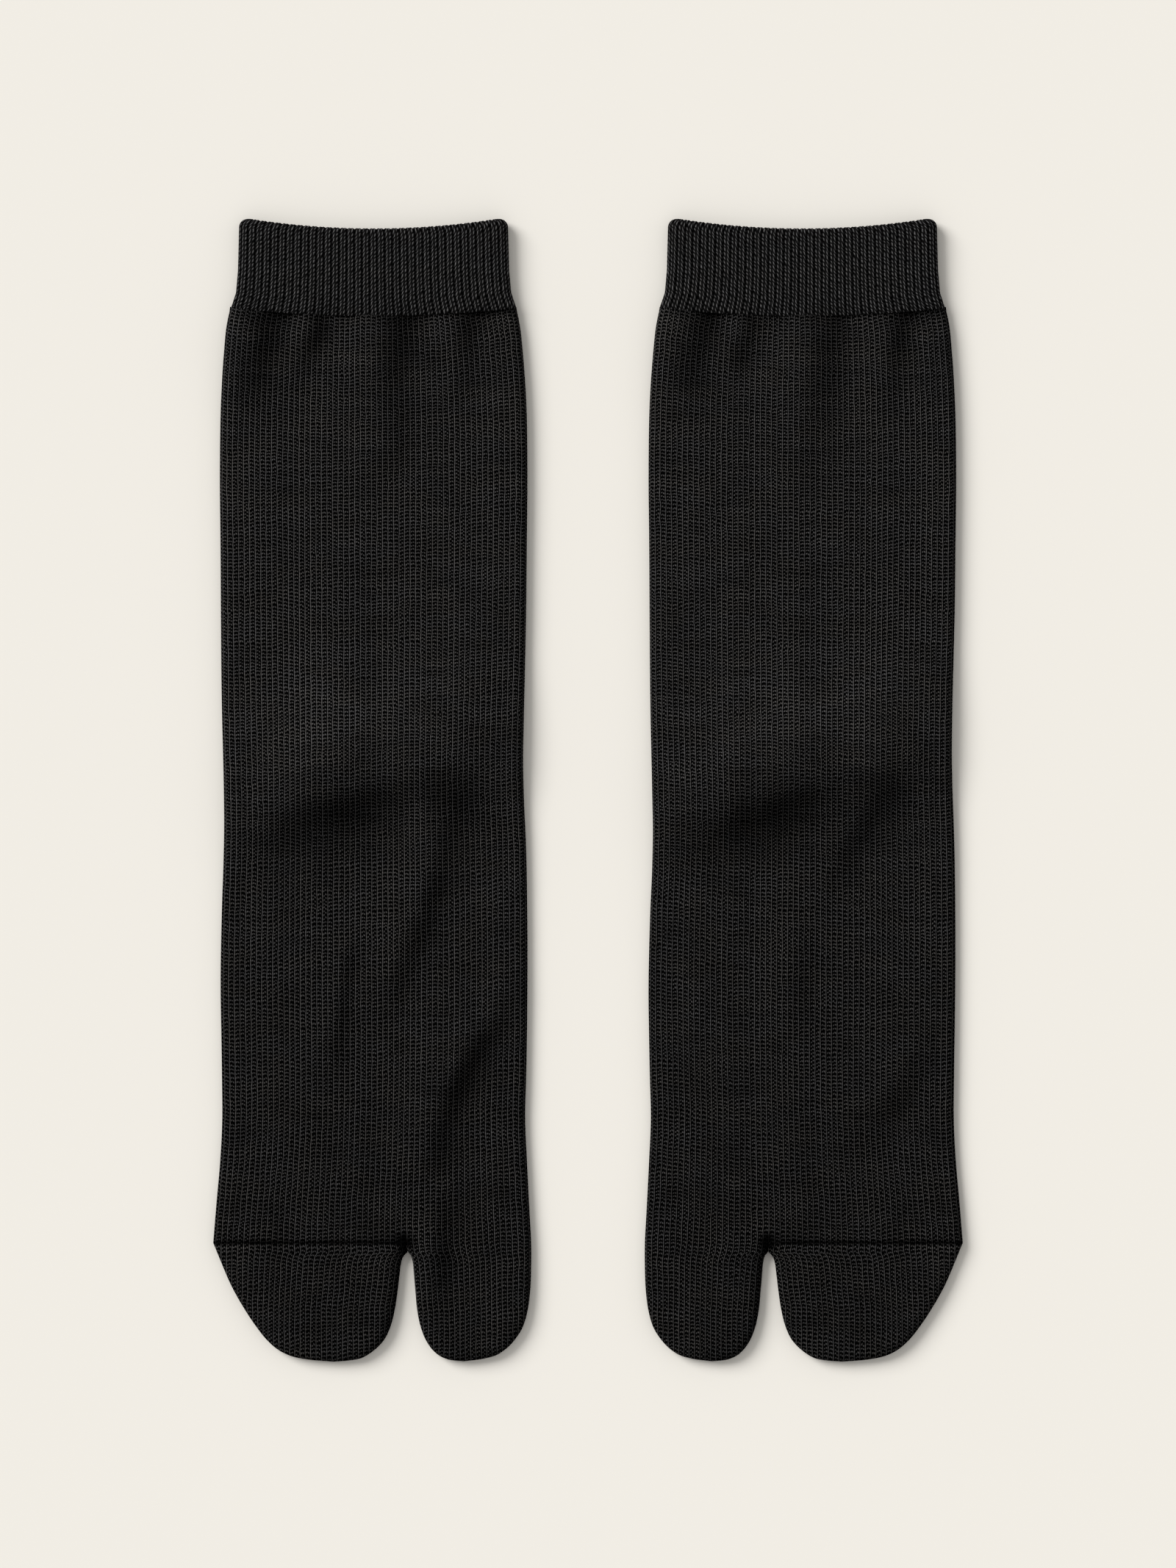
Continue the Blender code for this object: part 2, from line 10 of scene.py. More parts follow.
import bmesh
import bpy
import numpy as np
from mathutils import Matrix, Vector


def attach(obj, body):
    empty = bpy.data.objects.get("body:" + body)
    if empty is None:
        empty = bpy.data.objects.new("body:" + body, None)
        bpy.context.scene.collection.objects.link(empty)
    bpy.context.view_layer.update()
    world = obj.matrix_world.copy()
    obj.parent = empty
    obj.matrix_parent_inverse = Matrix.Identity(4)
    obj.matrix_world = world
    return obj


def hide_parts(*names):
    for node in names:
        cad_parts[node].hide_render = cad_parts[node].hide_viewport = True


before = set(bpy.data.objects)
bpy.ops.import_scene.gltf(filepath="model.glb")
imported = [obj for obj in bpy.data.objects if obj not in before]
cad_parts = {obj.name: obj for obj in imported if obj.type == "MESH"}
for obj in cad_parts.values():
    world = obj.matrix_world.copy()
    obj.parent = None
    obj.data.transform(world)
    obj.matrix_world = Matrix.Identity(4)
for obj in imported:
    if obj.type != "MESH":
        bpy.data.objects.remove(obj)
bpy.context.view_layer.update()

# ------------------------------------------------------------------------------
# The view and the light. The camera hangs straight above the pair, with a long lens. One large soft lamp
# stands to the upper left and pale walls all round give back the rest. The socks lie on a plain sheet of warm
# white card.
# ------------------------------------------------------------------------------
VIEW_HEIGHT = 0.4695  # metres of the card from the top of the view to its bottom
VIEW_CENTRE_Y = 0.00187
CAMERA_HEIGHT = 2.4
FAR_AWAY = 30.0
SENSOR = 36.0

camera_data = bpy.data.cameras.new("overhead_camera")
camera_data.sensor_fit = "VERTICAL"
camera_data.sensor_height = SENSOR
camera_data.lens = SENSOR * CAMERA_HEIGHT / VIEW_HEIGHT
camera_data.clip_end = FAR_AWAY
camera = bpy.data.objects.new("overhead_camera", camera_data)
camera.location = (0.0, VIEW_CENTRE_Y, CAMERA_HEIGHT)
bpy.context.scene.collection.objects.link(camera)
bpy.context.scene.camera = camera
bpy.context.scene.view_settings.view_transform = "Standard"

TOWARDS_LAMP = Vector((-0.655, 0.455, 0.602))
LAMP_STRENGTH = 2.67
LAMP_SPREAD = np.radians(34.0)
WALL_LIGHT = (1.0, 1.0, 1.0)
WALL_STRENGTH = 0.5

lamp_data = bpy.data.lights.new("soft_lamp", "SUN")
lamp_data.energy = LAMP_STRENGTH
lamp_data.angle = LAMP_SPREAD
lamp = bpy.data.objects.new("soft_lamp", lamp_data)
lamp.rotation_euler = TOWARDS_LAMP.to_track_quat("Z", "Y").to_euler()
bpy.context.scene.collection.objects.link(lamp)

world = bpy.data.worlds.new("pale_walls")
world.use_nodes = True
world.node_tree.nodes["Background"].inputs["Color"].default_value = (*WALL_LIGHT, 1.0)
world.node_tree.nodes["Background"].inputs["Strength"].default_value = WALL_STRENGTH
bpy.context.scene.world = world

CARD_SIZE = 12.0
CARD_COLOUR = (0.872, 0.838, 0.772)
CARD_ROUGHNESS = 0.9

bm = bmesh.new()
bmesh.ops.create_grid(bm, x_segments=1, y_segments=1, size=CARD_SIZE / 2)
card_mesh = bpy.data.meshes.new("card")
bm.to_mesh(card_mesh)
bm.free()
card = bpy.data.objects.new("card", card_mesh)
bpy.context.scene.collection.objects.link(card)
card_paper = bpy.data.materials.new("warm_white_card")
card_paper.use_nodes = True
card_shader = card_paper.node_tree.nodes["Principled BSDF"]
card_shader.inputs["Base Color"].default_value = (*CARD_COLOUR, 1.0)
card_shader.inputs["Roughness"].default_value = CARD_ROUGHNESS
card_shader.inputs["Specular IOR Level"].default_value = 0.0
card_mesh.materials.append(card_paper)

# ------------------------------------------------------------------------------
# The leg, instep, sole and big toe of each sock. One tube of plain black cotton knit, worked round on a fine
# sock machine from the cuff down, then split at the cleft. It lies flat, so its front and its back meet in
# rounded edges.
# ------------------------------------------------------------------------------
MM = 0.001
WELD = 0.001  # points closer together than this are one
TINY = 1e-9  # keeps a division away from nought
CENTRE_LINE = 64.1  # from the middle of the pair to each sock's own centre line
CLOTH = 1.6
CUFF_SEAM = 144.0
CUFF_SEAM_HALF_WIDTH = 42.8
CUFF_SEAM_SAG = 2.4
TOE_SEAM = -135.4
CLEFT = 9.8
HEEL_SEAM = 0.0
HEEL_LENGTH = 26.0
HEEL_HALF_WIDTH = 31.0
HEEL_THICKNESS = 2.7
HEEL_TIP_THICKNESS = 2.3
SEAM_GAP = 0.3
LEG_COURSE = 1.07  # from one row of stitches to the next
FOOT_COURSE = 1.16
FOOT_COURSES_FROM = -20.0
FOUR_TOE_WALES = 35  # columns of stitches over the four toes, on one face of the sock
BIG_TOE_WALES = 22
WALE_POINTS = 4
WALE_VALLEYS = (0.14, 0.0, 0.12, 0.16)  # how deep a column's points lie below its crests

# Thickness of the flattened sock, over both faces, along its length.
Thickness = namedtuple("Thickness", "y height")
BODY_THICKNESS = (
    Thickness(-172, 4.4),
    Thickness(-135, 4.0),
    Thickness(-110, 3.6),
    Thickness(-40, 3.6),
    Thickness(0, 4.3),
    Thickness(40, 4.6),
    Thickness(144, 4.8),
)

# The outline seen from above. Each corner is where the side of a toe turns into its rounded tip.
Point = namedtuple("Point", "x y")
SEAM_CORNER = Point(-48.0, TOE_SEAM)
FOUR_GAP_CORNER = Point(6.4, -155.0)
BIG_GAP_CORNER = Point(13.0, -155.5)
BIG_SIDE_CORNER = Point(46.8, -150.0)
LITTLE_TOE_SIDE = (
    Point(-42.9, 144),
    Point(-43.8, 139.8),
    Point(-44.8, 130),
    Point(-45.6, 117),
    Point(-46.0, 95),
    Point(-45.8, 73),
    Point(-45.5, 39),
    Point(-44.8, 10),
    Point(-44.7, 0),
    Point(-44.9, -11),
    Point(-45.4, -25),
    Point(-45.8, -50),
    Point(-45.4, -86),
    Point(-45.3, -98),
    Point(-46.0, -112),
    Point(-46.9, -122),
    SEAM_CORNER,
)
FOUR_TOE_SIDE = (
    SEAM_CORNER,
    Point(-46.0, -140.3),
    Point(-42.5, -148.4),
    Point(-38.9, -154.8),
    Point(-35.4, -160.1),
    Point(-31.9, -164.5),
    Point(-28.4, -167.5),
    Point(-24.9, -169.2),
    Point(-19.6, -170.3),
    Point(-12.0, -170.95),
)
FOUR_TOE_GAP_SIDE = (
    Point(-12.0, -170.95),
    Point(-7.3, -170.6),
    Point(-3.7, -169.9),
    Point(-0.2, -167.8),
    Point(3.3, -164.2),
    Point(5.1, -160.3),
    FOUR_GAP_CORNER,
    Point(7.1, -150.3),
    Point(7.8, -144.6),
    Point(8.3, -141.0),
    Point(8.8, -139.6),
    Point(9.5, -138.7),
    Point(10.1, -138.2),
    Point(10.1, -137.3),
    Point(9.7, -135.4),
)
BIG_TOE_GAP_SIDE = (
    Point(9.8, -135.4),
    Point(10.2, -137.3),
    Point(10.3, -138.2),
    Point(11.0, -138.9),
    Point(11.4, -139.8),
    Point(11.7, -141.2),
    Point(12.0, -144.6),
    Point(12.5, -150.3),
    BIG_GAP_CORNER,
    Point(14.1, -160.7),
    Point(15.7, -164.7),
    Point(17.5, -167.3),
    Point(19.7, -169.2),
    Point(22.0, -170.2),
    Point(27.0, -170.85),
)
BIG_TOE_SIDE = (
    Point(27.0, -170.85),
    Point(33.2, -170.0),
    Point(36.7, -169.0),
    Point(39.5, -167.2),
    Point(42.3, -164.3),
    Point(44.6, -160.6),
    Point(46.0, -155.9),
    BIG_SIDE_CORNER,
    Point(47.1, -143.0),
    Point(47.1, -135.4),
    Point(46.6, -126),
    Point(45.9, -112),
    Point(45.3, -98),
    Point(45.6, -86),
    Point(46.0, -50),
    Point(45.5, -25),
    Point(44.9, -11),
    Point(44.7, 0),
    Point(44.9, 10),
    Point(45.5, 39),
    Point(45.8, 73),
    Point(46.0, 95),
    Point(45.6, 117),
    Point(44.7, 130),
    Point(43.6, 139.8),
    Point(42.7, 144),
)

# The folds. Each is a soft ridge of the upper face along a path, higher in one place than in another. Here x
# counts from the sock's centre line to +X on both socks, and the reaches are the ridge's spread to -X and
# to +X. The third column is the painted shade along the ridge's foot at +X, away from the lamp, for each mm
# of the ridge's height.
Crest = namedtuple("Crest", "x y height")
Fold = namedtuple("Fold", "reach_left reach_right tight path")
RIGHT_FOOT_FOLDS = (
    Fold(7, 7, 0.33, (Crest(-37, 145, 0.9), Crest(-38, 137, 2.6), Crest(-40, 126, 2.0), Crest(-42, 108, 0))),
    Fold(4, 4.2, 0.4, (Crest(-18, 145, 0.8), Crest(-20, 138, 1.9), Crest(-24, 130, 1.2), Crest(-27, 118, 0))),
    Fold(
        9, 7, 0.28,
        (Crest(4, 145, 1.2), Crest(1, 135, 2.6), Crest(-1, 122, 1.7), Crest(1, 106, 1.0), Crest(-9, 86, 0)),
    ),
    Fold(7, 4.5, 0.4, (Crest(24, 145, 0.3), Crest(24, 137, 1.4), Crest(24, 128, 0.9), Crest(22, 112, 0))),
    Fold(14, 12, 0.3, (Crest(-15, 44, 0), Crest(-14, 26, 1.2), Crest(-9, 12, 0.8), Crest(-4, 3, 0))),
    Fold(10, 5, 0.22, (Crest(22, 2, 0.4), Crest(16, -24, 2.3), Crest(9, -44, 2.5), Crest(-3, -74, 0))),
    Fold(4, 2.8, 0.4, (Crest(-7, -38, 0), Crest(-10, -55, 1.2), Crest(-12, -72, 1.1), Crest(-15, -90, 0))),
    Fold(11, 5, 0.38, (Crest(40, -60, 0.4), Crest(26, -78, 2.6), Crest(17, -100, 1.9), Crest(13, -122, 0))),
    Fold(
        3.4, 4.4, 0.24,
        (Crest(20, -112, 0), Crest(18, -130, 1.6), Crest(17, -145, 1.8), Crest(16, -160, 0)),
    ),
)
LEFT_FOOT_FOLDS = (
    Fold(7, 7, 0.27, (Crest(-36, 145, 0.9), Crest(-37, 137, 2.7), Crest(-39, 127, 2.0), Crest(-42, 108, 0))),
    Fold(4, 4.2, 0.3, (Crest(-18, 145, 0.8), Crest(-19, 138, 1.7), Crest(-22, 131, 1.0), Crest(-24, 120, 0))),
    Fold(
        9, 7, 0.2,
        (Crest(4, 145, 1.2), Crest(2, 135, 2.7), Crest(0, 118, 1.5), Crest(-2, 104, 1.0), Crest(-9, 86, 0)),
    ),
    Fold(8, 4.5, 0.4, (Crest(25, 145, 0.3), Crest(25, 137, 1.7), Crest(24, 127, 1.2), Crest(22, 110, 0))),
    Fold(14, 12, 0.3, (Crest(-8, 44, 0), Crest(-8, 26, 1.2), Crest(-6, 12, 0.8), Crest(-4, 3, 0))),
    Fold(9, 5, 0.16, (Crest(24, 4, 0.6), Crest(15, -9, 2.2), Crest(6, -24, 1.2), Crest(-1, -46, 0))),
    Fold(6, 5, 0.4, (Crest(-3, -36, 0), Crest(-5, -58, 0.9), Crest(-5, -80, 0))),
    Fold(12, 6, 0.38, (Crest(36, -70, 0.2), Crest(25, -88, 1.4), Crest(12, -108, 0))),
)
SHADED_FOLD_FOOT = 0.75  # the strip of painted shade along a fold's foot, at +X of it and away from the lamp, as a share of its reach

# Painted shade along creases and, with a shade below 0, painted light where the swell over the heel faces the
# lamp. Here too x counts to +X on both socks.
Spot = namedtuple("Spot", "x y shade")
Crease = namedtuple("Crease", "reach path")
RIGHT_FOOT_CREASES = (
    Crease(
        6,
        (
            Spot(-31, 149, 0), Spot(-33, 143, 0.25), Spot(-35, 134, 0.2),
            Spot(-37, 122, 0.15), Spot(-38, 106, 0),
        ),
    ),
    Crease(4, (Spot(-14, 149, 0), Spot(-15, 144, 0.3), Spot(-17, 135, 0.2), Spot(-21, 122, 0))),
    Crease(
        7,
        (
            Spot(9, 149, 0), Spot(9, 143, 0.3), Spot(10, 134, 0.25),
            Spot(9, 118, 0.15), Spot(7, 103, 0.12), Spot(0, 84, 0),
        ),
    ),
    Crease(5, (Spot(30, 149, 0), Spot(30, 143, 0.25), Spot(29, 133, 0.2), Spot(27, 116, 0))),
    Crease(
        10,
        (
            Spot(-38, -23, 0.1), Spot(-29, -18, 0.35), Spot(-18, -12, 0.75),
            Spot(-8, -8, 0.95), Spot(1, -5, 0.7), Spot(9, -2, 0.1),
        ),
    ),
    Crease(
        8,
        (Spot(14, 1, 0), Spot(21, -2, 0.6), Spot(25, -5, 0.75), Spot(23, -12, 0.4), Spot(20, -20, 0.1)),
    ),
    Crease(13, (Spot(-34, 26, -0.1), Spot(-14, 26, -0.6), Spot(6, 26, -0.4), Spot(20, 22, 0))),
    Crease(4, (Spot(-33, -137, 0.2), Spot(-28, -141, 0.1))),
    Crease(5, (Spot(19, -120, 0), Spot(21, -130, 0.2), Spot(22, -142, 0.2), Spot(23, -154, 0))),
)
LEFT_FOOT_CREASES = (
    Crease(
        6,
        (
            Spot(-27, 149, 0), Spot(-29, 143, 0.2), Spot(-32, 134, 0.15),
            Spot(-36, 120, 0.12), Spot(-38, 104, 0),
        ),
    ),
    Crease(4, (Spot(-13, 149, 0), Spot(-14, 143, 0.25), Spot(-18, 134, 0.2), Spot(-22, 122, 0))),
    Crease(7, (Spot(10, 149, 0), Spot(9, 143, 0.2), Spot(7, 130, 0.15), Spot(5, 110, 0.15), Spot(-1, 90, 0))),
    Crease(5, (Spot(31, 149, 0), Spot(30, 143, 0.2), Spot(30, 130, 0.15), Spot(28, 114, 0))),
    Crease(
        10,
        (
            Spot(-35, -22, 0.1), Spot(-27, -18, 0.5), Spot(-18, -13, 0.9), Spot(-9, -9, 1.0),
            Spot(1, -5, 0.8), Spot(10, -2, 0.3), Spot(18, 0, 0.15),
        ),
    ),
    Crease(
        9,
        (Spot(33, 3, 0.2), Spot(28, -1, 0.6), Spot(21, -7, 0.4), Spot(14, -16, 0.25), Spot(8, -27, 0)),
    ),
    Crease(13, (Spot(-22, 26, -0.1), Spot(-6, 26, -0.5), Spot(10, 26, -0.5), Spot(28, 22, 0))),
    Crease(4, (Spot(0, -137, 0.2), Spot(4, -141, 0.1))),
)

# The folded heel lifts the leg over it, in full as far as these margins round the pouch, and less from there
# on until it lies down again. Above the heel the cloth swells up, steeply from the toes' side.
POUCH_SIDE_MARGIN = 5.0
POUCH_TIP_MARGIN = 1.0
POUCH_RUN_OUT = 0.28  # as a share of the pouch's size
CLIMB_START = 2.2  # the leg starts to climb onto the pouch this far below the heel's seam
CLIMB_LENGTH = 1.8
SWELL_HEIGHT = 5.4
SWELL_FOOT = -8.0
SWELL_FOOT_BOW = 9.0  # how far the line of its foot bends down, this far from the centre line
SWELL_BOW_WIDTH = 40.0
SWELL_TOP = 3.5
SWELL_CREST = 8.0
SWELL_END = 38.0
SWELL_FLAT_WIDTH = 18.0
SWELL_FADE_WIDTH = 30.0
SWELL_EDGE_LOSS = 0.8

# side is 1 where the big toe points to +X. The heel and the swell over it lie aslant: slant is their rise in
# y for each step to +X, in full near the heel's seam and fading out from there.
Sock = namedtuple("Sock", "name side folds creases slant")
SOCKS = (
    Sock("right_foot", 1, RIGHT_FOOT_FOLDS, RIGHT_FOOT_CREASES, 0.22),
    Sock("left_foot", -1, LEFT_FOOT_FOLDS, LEFT_FOOT_CREASES, 0.26),
)
SLANT_REACH = 28.0
SLANT_FADE = 50.0

# The seams draw the cloth in along their lines. Under the cuff they do so unevenly, in waves across the sock.
Wave = namedtuple("Wave", "height turn start")
TOE_SEAM_DIP = 0.8
TOE_SEAM_SPREAD = 0.8
CUFF_SEAM_DIP = 0.55
CUFF_SEAM_WAVES = (Wave(0.3, 0.21, 1.0), Wave(0.15, 0.63, 0.0))
CUFF_SEAM_SPREAD = 2.6
CUFF_SAG_FROM = 84.0  # from here up the rows hang down in the middle more and more
CLEFT_DIP = 1.1
CLEFT_SPREAD_SQUARED = 7.0
DIP_EDGE = 3.0  # no dip at the very edge of the sock, and the full one from this depth in from it


def smooth_curve(points, steps=6):
    """Closely spaced points along a smooth curve through all the given ones."""
    points = np.array(points, float)
    travelled = np.concatenate([[0.0], np.cumsum(np.linalg.norm(np.diff(points[:, :2], axis=0), axis=1))])
    slope = np.gradient(points, travelled, axis=0)
    t = np.linspace(0.0, 1.0, steps + 1)[1:, None]
    curve = [points[:1]]
    for i, length in enumerate(np.diff(travelled)):
        curve.append(
            points[i] * (2 * t**3 - 3 * t**2 + 1)
            + slope[i] * length * (t**3 - 2 * t**2 + t)
            + points[i + 1] * (3 * t**2 - 2 * t**3)
            + slope[i + 1] * length * (t**3 - t**2)
        )
    return np.concatenate(curve)


def soft_step(value):
    """0 up to 0, 1 from 1 on, and a soft rise between them."""
    t = np.clip(value, 0.0, 1.0)
    return t * t * (3.0 - 2.0 * t)


LITTLE_EDGE = smooth_curve(LITTLE_TOE_SIDE)
FOUR_EDGE = smooth_curve(FOUR_TOE_SIDE)
FOUR_GAP_EDGE = smooth_curve(FOUR_TOE_GAP_SIDE)
BIG_GAP_EDGE = smooth_curve(BIG_TOE_GAP_SIDE)
BIG_EDGE = smooth_curve(BIG_TOE_SIDE)
OUTLINE = (
    np.concatenate([LITTLE_EDGE, FOUR_EDGE, FOUR_GAP_EDGE]),
    np.concatenate([BIG_GAP_EDGE, BIG_EDGE]),
)


def distance_to_outline(x, y):
    """Distance from each place to the nearest of the outline's curves, a row of places at a time."""
    nearest = np.full(x.shape, np.inf)
    for curve in OUTLINE:
        start, run = curve[:-1], np.diff(curve, axis=0)
        squared_length = np.maximum((run**2).sum(axis=1), TINY)
        for row in range(len(x)):
            offset = np.stack([x[row], y[row]], axis=-1)[:, None] - start
            along = np.clip((offset * run).sum(axis=2) / squared_length, 0.0, 1.0)
            away = np.linalg.norm(offset - along[..., None] * run, axis=2).min(axis=1)
            nearest[row] = np.minimum(nearest[row], away)
    return nearest


def edge_x(edge, y):
    """Where an edge of the outline crosses a row."""
    upwards = edge[np.argsort(edge[:, 1])]
    return np.interp(y, upwards[:, 1], upwards[:, 0])


def body_thickness(y):
    """Thickness of the flattened leg and foot, over both faces."""
    return np.interp(y, [row.y for row in BODY_THICKNESS], [row.height for row in BODY_THICKNESS])


def heel_thickness(y):
    """Thickness of the folded heel pouch, which thins towards its tip."""
    return np.interp(y, [HEEL_SEAM, HEEL_SEAM + HEEL_LENGTH], [HEEL_THICKNESS, HEEL_TIP_THICKNESS])


def heel_lift(x, y):
    """How far the lower face lies off the surface, because the heel pouch is folded beneath it."""
    up_leg = np.maximum(y - HEEL_SEAM, 0.0) / (HEEL_LENGTH + POUCH_TIP_MARGIN)
    off_pouch = np.hypot(x / (HEEL_HALF_WIDTH + POUCH_SIDE_MARGIN), up_leg) - 1.0
    lift = (heel_thickness(y) + SEAM_GAP) * (1.0 - soft_step(off_pouch / POUCH_RUN_OUT))
    return lift * soft_step((y - HEEL_SEAM + CLIMB_START) / CLIMB_LENGTH)


def nearest_on(path, reach, x, y):
    """Which places lie near a path, how far off it they are, and the path's point that is nearest to each."""
    path = smooth_curve(path, steps=12)
    near = (x > path[:, 0].min() - 3 * reach) & (x < path[:, 0].max() + 3 * reach)
    near &= (y > path[:, 1].min() - 3 * reach) & (y < path[:, 1].max() + 3 * reach)
    away = np.hypot(x[near][:, None] - path[:, 0], y[near][:, None] - path[:, 1])
    return near, away.min(axis=-1), path[away.argmin(axis=-1)]


def fold_shape(x, y, folds):
    """Rise of the upper face over its folds, and the painted shade along the foot of each, on its side away
    from the lamp.
    """
    rise, painted_shading = np.zeros(x.shape), np.zeros(x.shape)
    for fold in folds:
        near, away, crest = nearest_on(fold.path, max(fold.reach_left, fold.reach_right), x, y)
        to_right = x[near] > crest[:, 0]
        height = np.maximum(crest[:, 2], 0.0)
        reach = np.where(to_right, fold.reach_right, fold.reach_left)
        rise[near] += height * np.exp(-((away / reach) ** 2))
        # Painted shade in a strip along the fold's foot at +X, the side away from the lamp.
        at_foot = np.exp(-(((away / fold.reach_right - 1.0) / SHADED_FOLD_FOOT) ** 2)) * to_right
        painted_shading[near] += height * fold.tight * at_foot
    return rise, painted_shading


def crease_shade(x, y, creases):
    """The painted shade along the creases, and painted light where a spot's shade is below 0."""
    shade = np.zeros(x.shape)
    for crease in creases:
        near, away, spot = nearest_on(crease.path, crease.reach, x, y)
        shade[near] += spot[:, 2] * np.exp(-((away / crease.reach) ** 2))
    return shade


def swell_shape(x, y):
    """Rise of the upper face over the folded heel."""
    foot = SWELL_FOOT - SWELL_FOOT_BOW * (x / SWELL_BOW_WIDTH) ** 2
    steep_side = soft_step((y - foot) / (SWELL_TOP - foot))
    gentle_side = 1.0 - soft_step((y - SWELL_CREST) / (SWELL_END - SWELL_CREST))
    edges = 1.0 - SWELL_EDGE_LOSS * soft_step((np.abs(x) - SWELL_FLAT_WIDTH) / SWELL_FADE_WIDTH)
    return SWELL_HEIGHT * steep_side * gentle_side * edges


def slant_of(x, y, sock):
    """How far a place is carried up or down because the ankle lies aslant."""
    return sock.slant * sock.side * x * (1.0 - soft_step((np.abs(y - HEEL_SEAM) - SLANT_REACH) / SLANT_FADE))


def hang(x, y):
    """How far a place hangs down in the middle below the cuff's curved seam."""
    near_cuff = soft_step((y - CUFF_SAG_FROM) / (CUFF_SEAM - CUFF_SAG_FROM))
    return CUFF_SEAM_SAG * (1.0 - np.minimum(x / CUFF_SEAM_HALF_WIDTH, 1.0) ** 2) * near_cuff


def toe_seam_dip(y):
    """The linking seam at the base of the four toes draws the cloth in along a line."""
    return TOE_SEAM_DIP * np.exp(-(((y - TOE_SEAM) / TOE_SEAM_SPREAD) ** 2))


def cuff_seam_dip(x, y):
    """The cuff's seam draws the cloth in below it, here more and there less."""
    dip = CUFF_SEAM_DIP
    for wave in CUFF_SEAM_WAVES:
        dip = dip + wave.height * np.sin(wave.turn * x + wave.start)
    return dip * np.exp(-(((CUFF_SEAM - y) / CUFF_SEAM_SPREAD) ** 2))


def courses_down(y):
    """How many rows of stitches lie between the cuff and a place, in a leg with finer rows than the foot."""
    in_foot = np.minimum(y - FOOT_COURSES_FROM, 0.0)
    return (CUFF_SEAM - y + in_foot) / LEG_COURSE - in_foot / FOOT_COURSE


# Painted shade and painted light: how much darker the colour is painted along the seams and in the cleft,
# under the cuff, at each rim that faces +X, away from the lamp, and in the gap between the toes, and how much
# lighter in a painted highlight just below the toe seam.
PAINTED_SHADE_AT_SEAM = 1.5
PAINTED_SHADE_BELOW_CUFF = 0.8
PAINTED_SHADE_AT_RIM = 0.55
PAINTED_SHADE_IN_GAP = 0.5
PAINTED_LIGHT_BELOW_SEAM = 0.6
LIGHT_LINE_DROP = 1.2
LIGHT_LINE_SPREAD = 0.55
LIGHT_LINE_END = 2.0  # this far short of the cleft
GAP_REACH = 9.0
GAP_TOP = 3.0  # above the toe seam
SHADED_RIM_WIDTH = 1.9
SHADED_RIM_WIDTH_IN_GAP = 1.5
PAINTED_SHADING_MOST = 1.5
INNER_TIP_DEPTH = 0.05  # how far inside its own edge the inner face stays where a toe ends


def seams_draw_in(x, y, depth, painted_shading, sock):
    """How far the seams and the cleft draw in the outer face, and its painted shading with theirs added."""
    at_cleft = np.exp(-(((x - CLEFT) ** 2 + (y - TOE_SEAM) ** 2) / CLEFT_SPREAD_SQUARED))
    drawn_in = np.maximum(np.where(x < CLEFT, toe_seam_dip(y), 0.0), CLEFT_DIP * at_cleft)
    below_cuff = cuff_seam_dip(sock.side * x, y)
    # A painted highlight just below the toe seam.
    painted_light_line = np.exp(-(((y - TOE_SEAM + LIGHT_LINE_DROP) / LIGHT_LINE_SPREAD) ** 2))
    painted_light_line = np.where(x < CLEFT - LIGHT_LINE_END, painted_light_line, 0.0)
    at_gap = np.exp(-(((x - CLEFT) / GAP_REACH) ** 2)) * (y < TOE_SEAM + GAP_TOP)
    # Painted shade along each rim that faces +X, away from the lamp, wider in the gap between the toes.
    rim_away_from_lamp = np.exp(-((depth / (SHADED_RIM_WIDTH + SHADED_RIM_WIDTH_IN_GAP * at_gap)) ** 2))
    rim_away_from_lamp *= np.gradient(depth, axis=1) * sock.side < 0
    painted_shading = painted_shading + PAINTED_SHADE_AT_SEAM * drawn_in + PAINTED_SHADE_BELOW_CUFF * below_cuff
    painted_shading = painted_shading + (PAINTED_SHADE_AT_RIM + PAINTED_SHADE_IN_GAP * at_gap) * rim_away_from_lamp
    painted_shading = painted_shading - PAINTED_LIGHT_BELOW_SEAM * painted_light_line
    return (drawn_in + below_cuff) * np.minimum(depth / DIP_EDGE, 1.0), np.minimum(painted_shading, PAINTED_SHADING_MOST)


def face_points(x, y, inset, face, sock, relief=None, ends_in_tip=False):
    """The upper (face = 1) or lower (face = -1) face over x, y, and the painted shading of its points."""
    least_depth = INNER_TIP_DEPTH if ends_in_tip and inset else 0.0
    depth = np.maximum(distance_to_outline(x, y) - inset, least_depth)
    depth[:, [0, -1]] = 0.0
    if ends_in_tip:
        depth[-1] = 0.0
    thickness = body_thickness(y)
    laid_y = y + slant_of(x, y, sock) - hang(x, y)
    # Painted shade from the folds and creases, and painted light where it is below 0, on the upper face only.
    folds, painted_shading = fold_shape(sock.side * x, laid_y, sock.folds)
    painted_shading += crease_shade(sock.side * x, laid_y, sock.creases)
    painted_shading = np.minimum(painted_shading, 1.0) * (face > 0)
    crown = thickness + folds + swell_shape(x, y)
    under = heel_lift(x, y)
    middle = (crown + under) / 2
    half = (crown - under) / 2 - inset
    rounded = np.sqrt(1.0 - (1.0 - np.clip(depth / (thickness / 2 - inset), 0.0, 1.0)) ** 2)
    if relief is not None:
        drawn_in, painted_shading = seams_draw_in(x, y, depth, painted_shading, sock)
        half = half - relief * rounded - drawn_in
    return np.stack([x, laid_y, middle + face * half * rounded], axis=-1), painted_shading


CLEFT_FAN_FROM = 45.0  # this far above the toe seam the columns start to part towards the two toes
CLEFT_FAN_LENGTH = 40.0  # and have done so after this


def column_shares(points_each):
    """Shares of the way over the four toes and over the big toe, with some points to each column."""
    four_toes = np.linspace(0.0, 1.0, FOUR_TOE_WALES * points_each + 1)
    return four_toes, np.linspace(0.0, 1.0, BIG_TOE_WALES * points_each + 1)


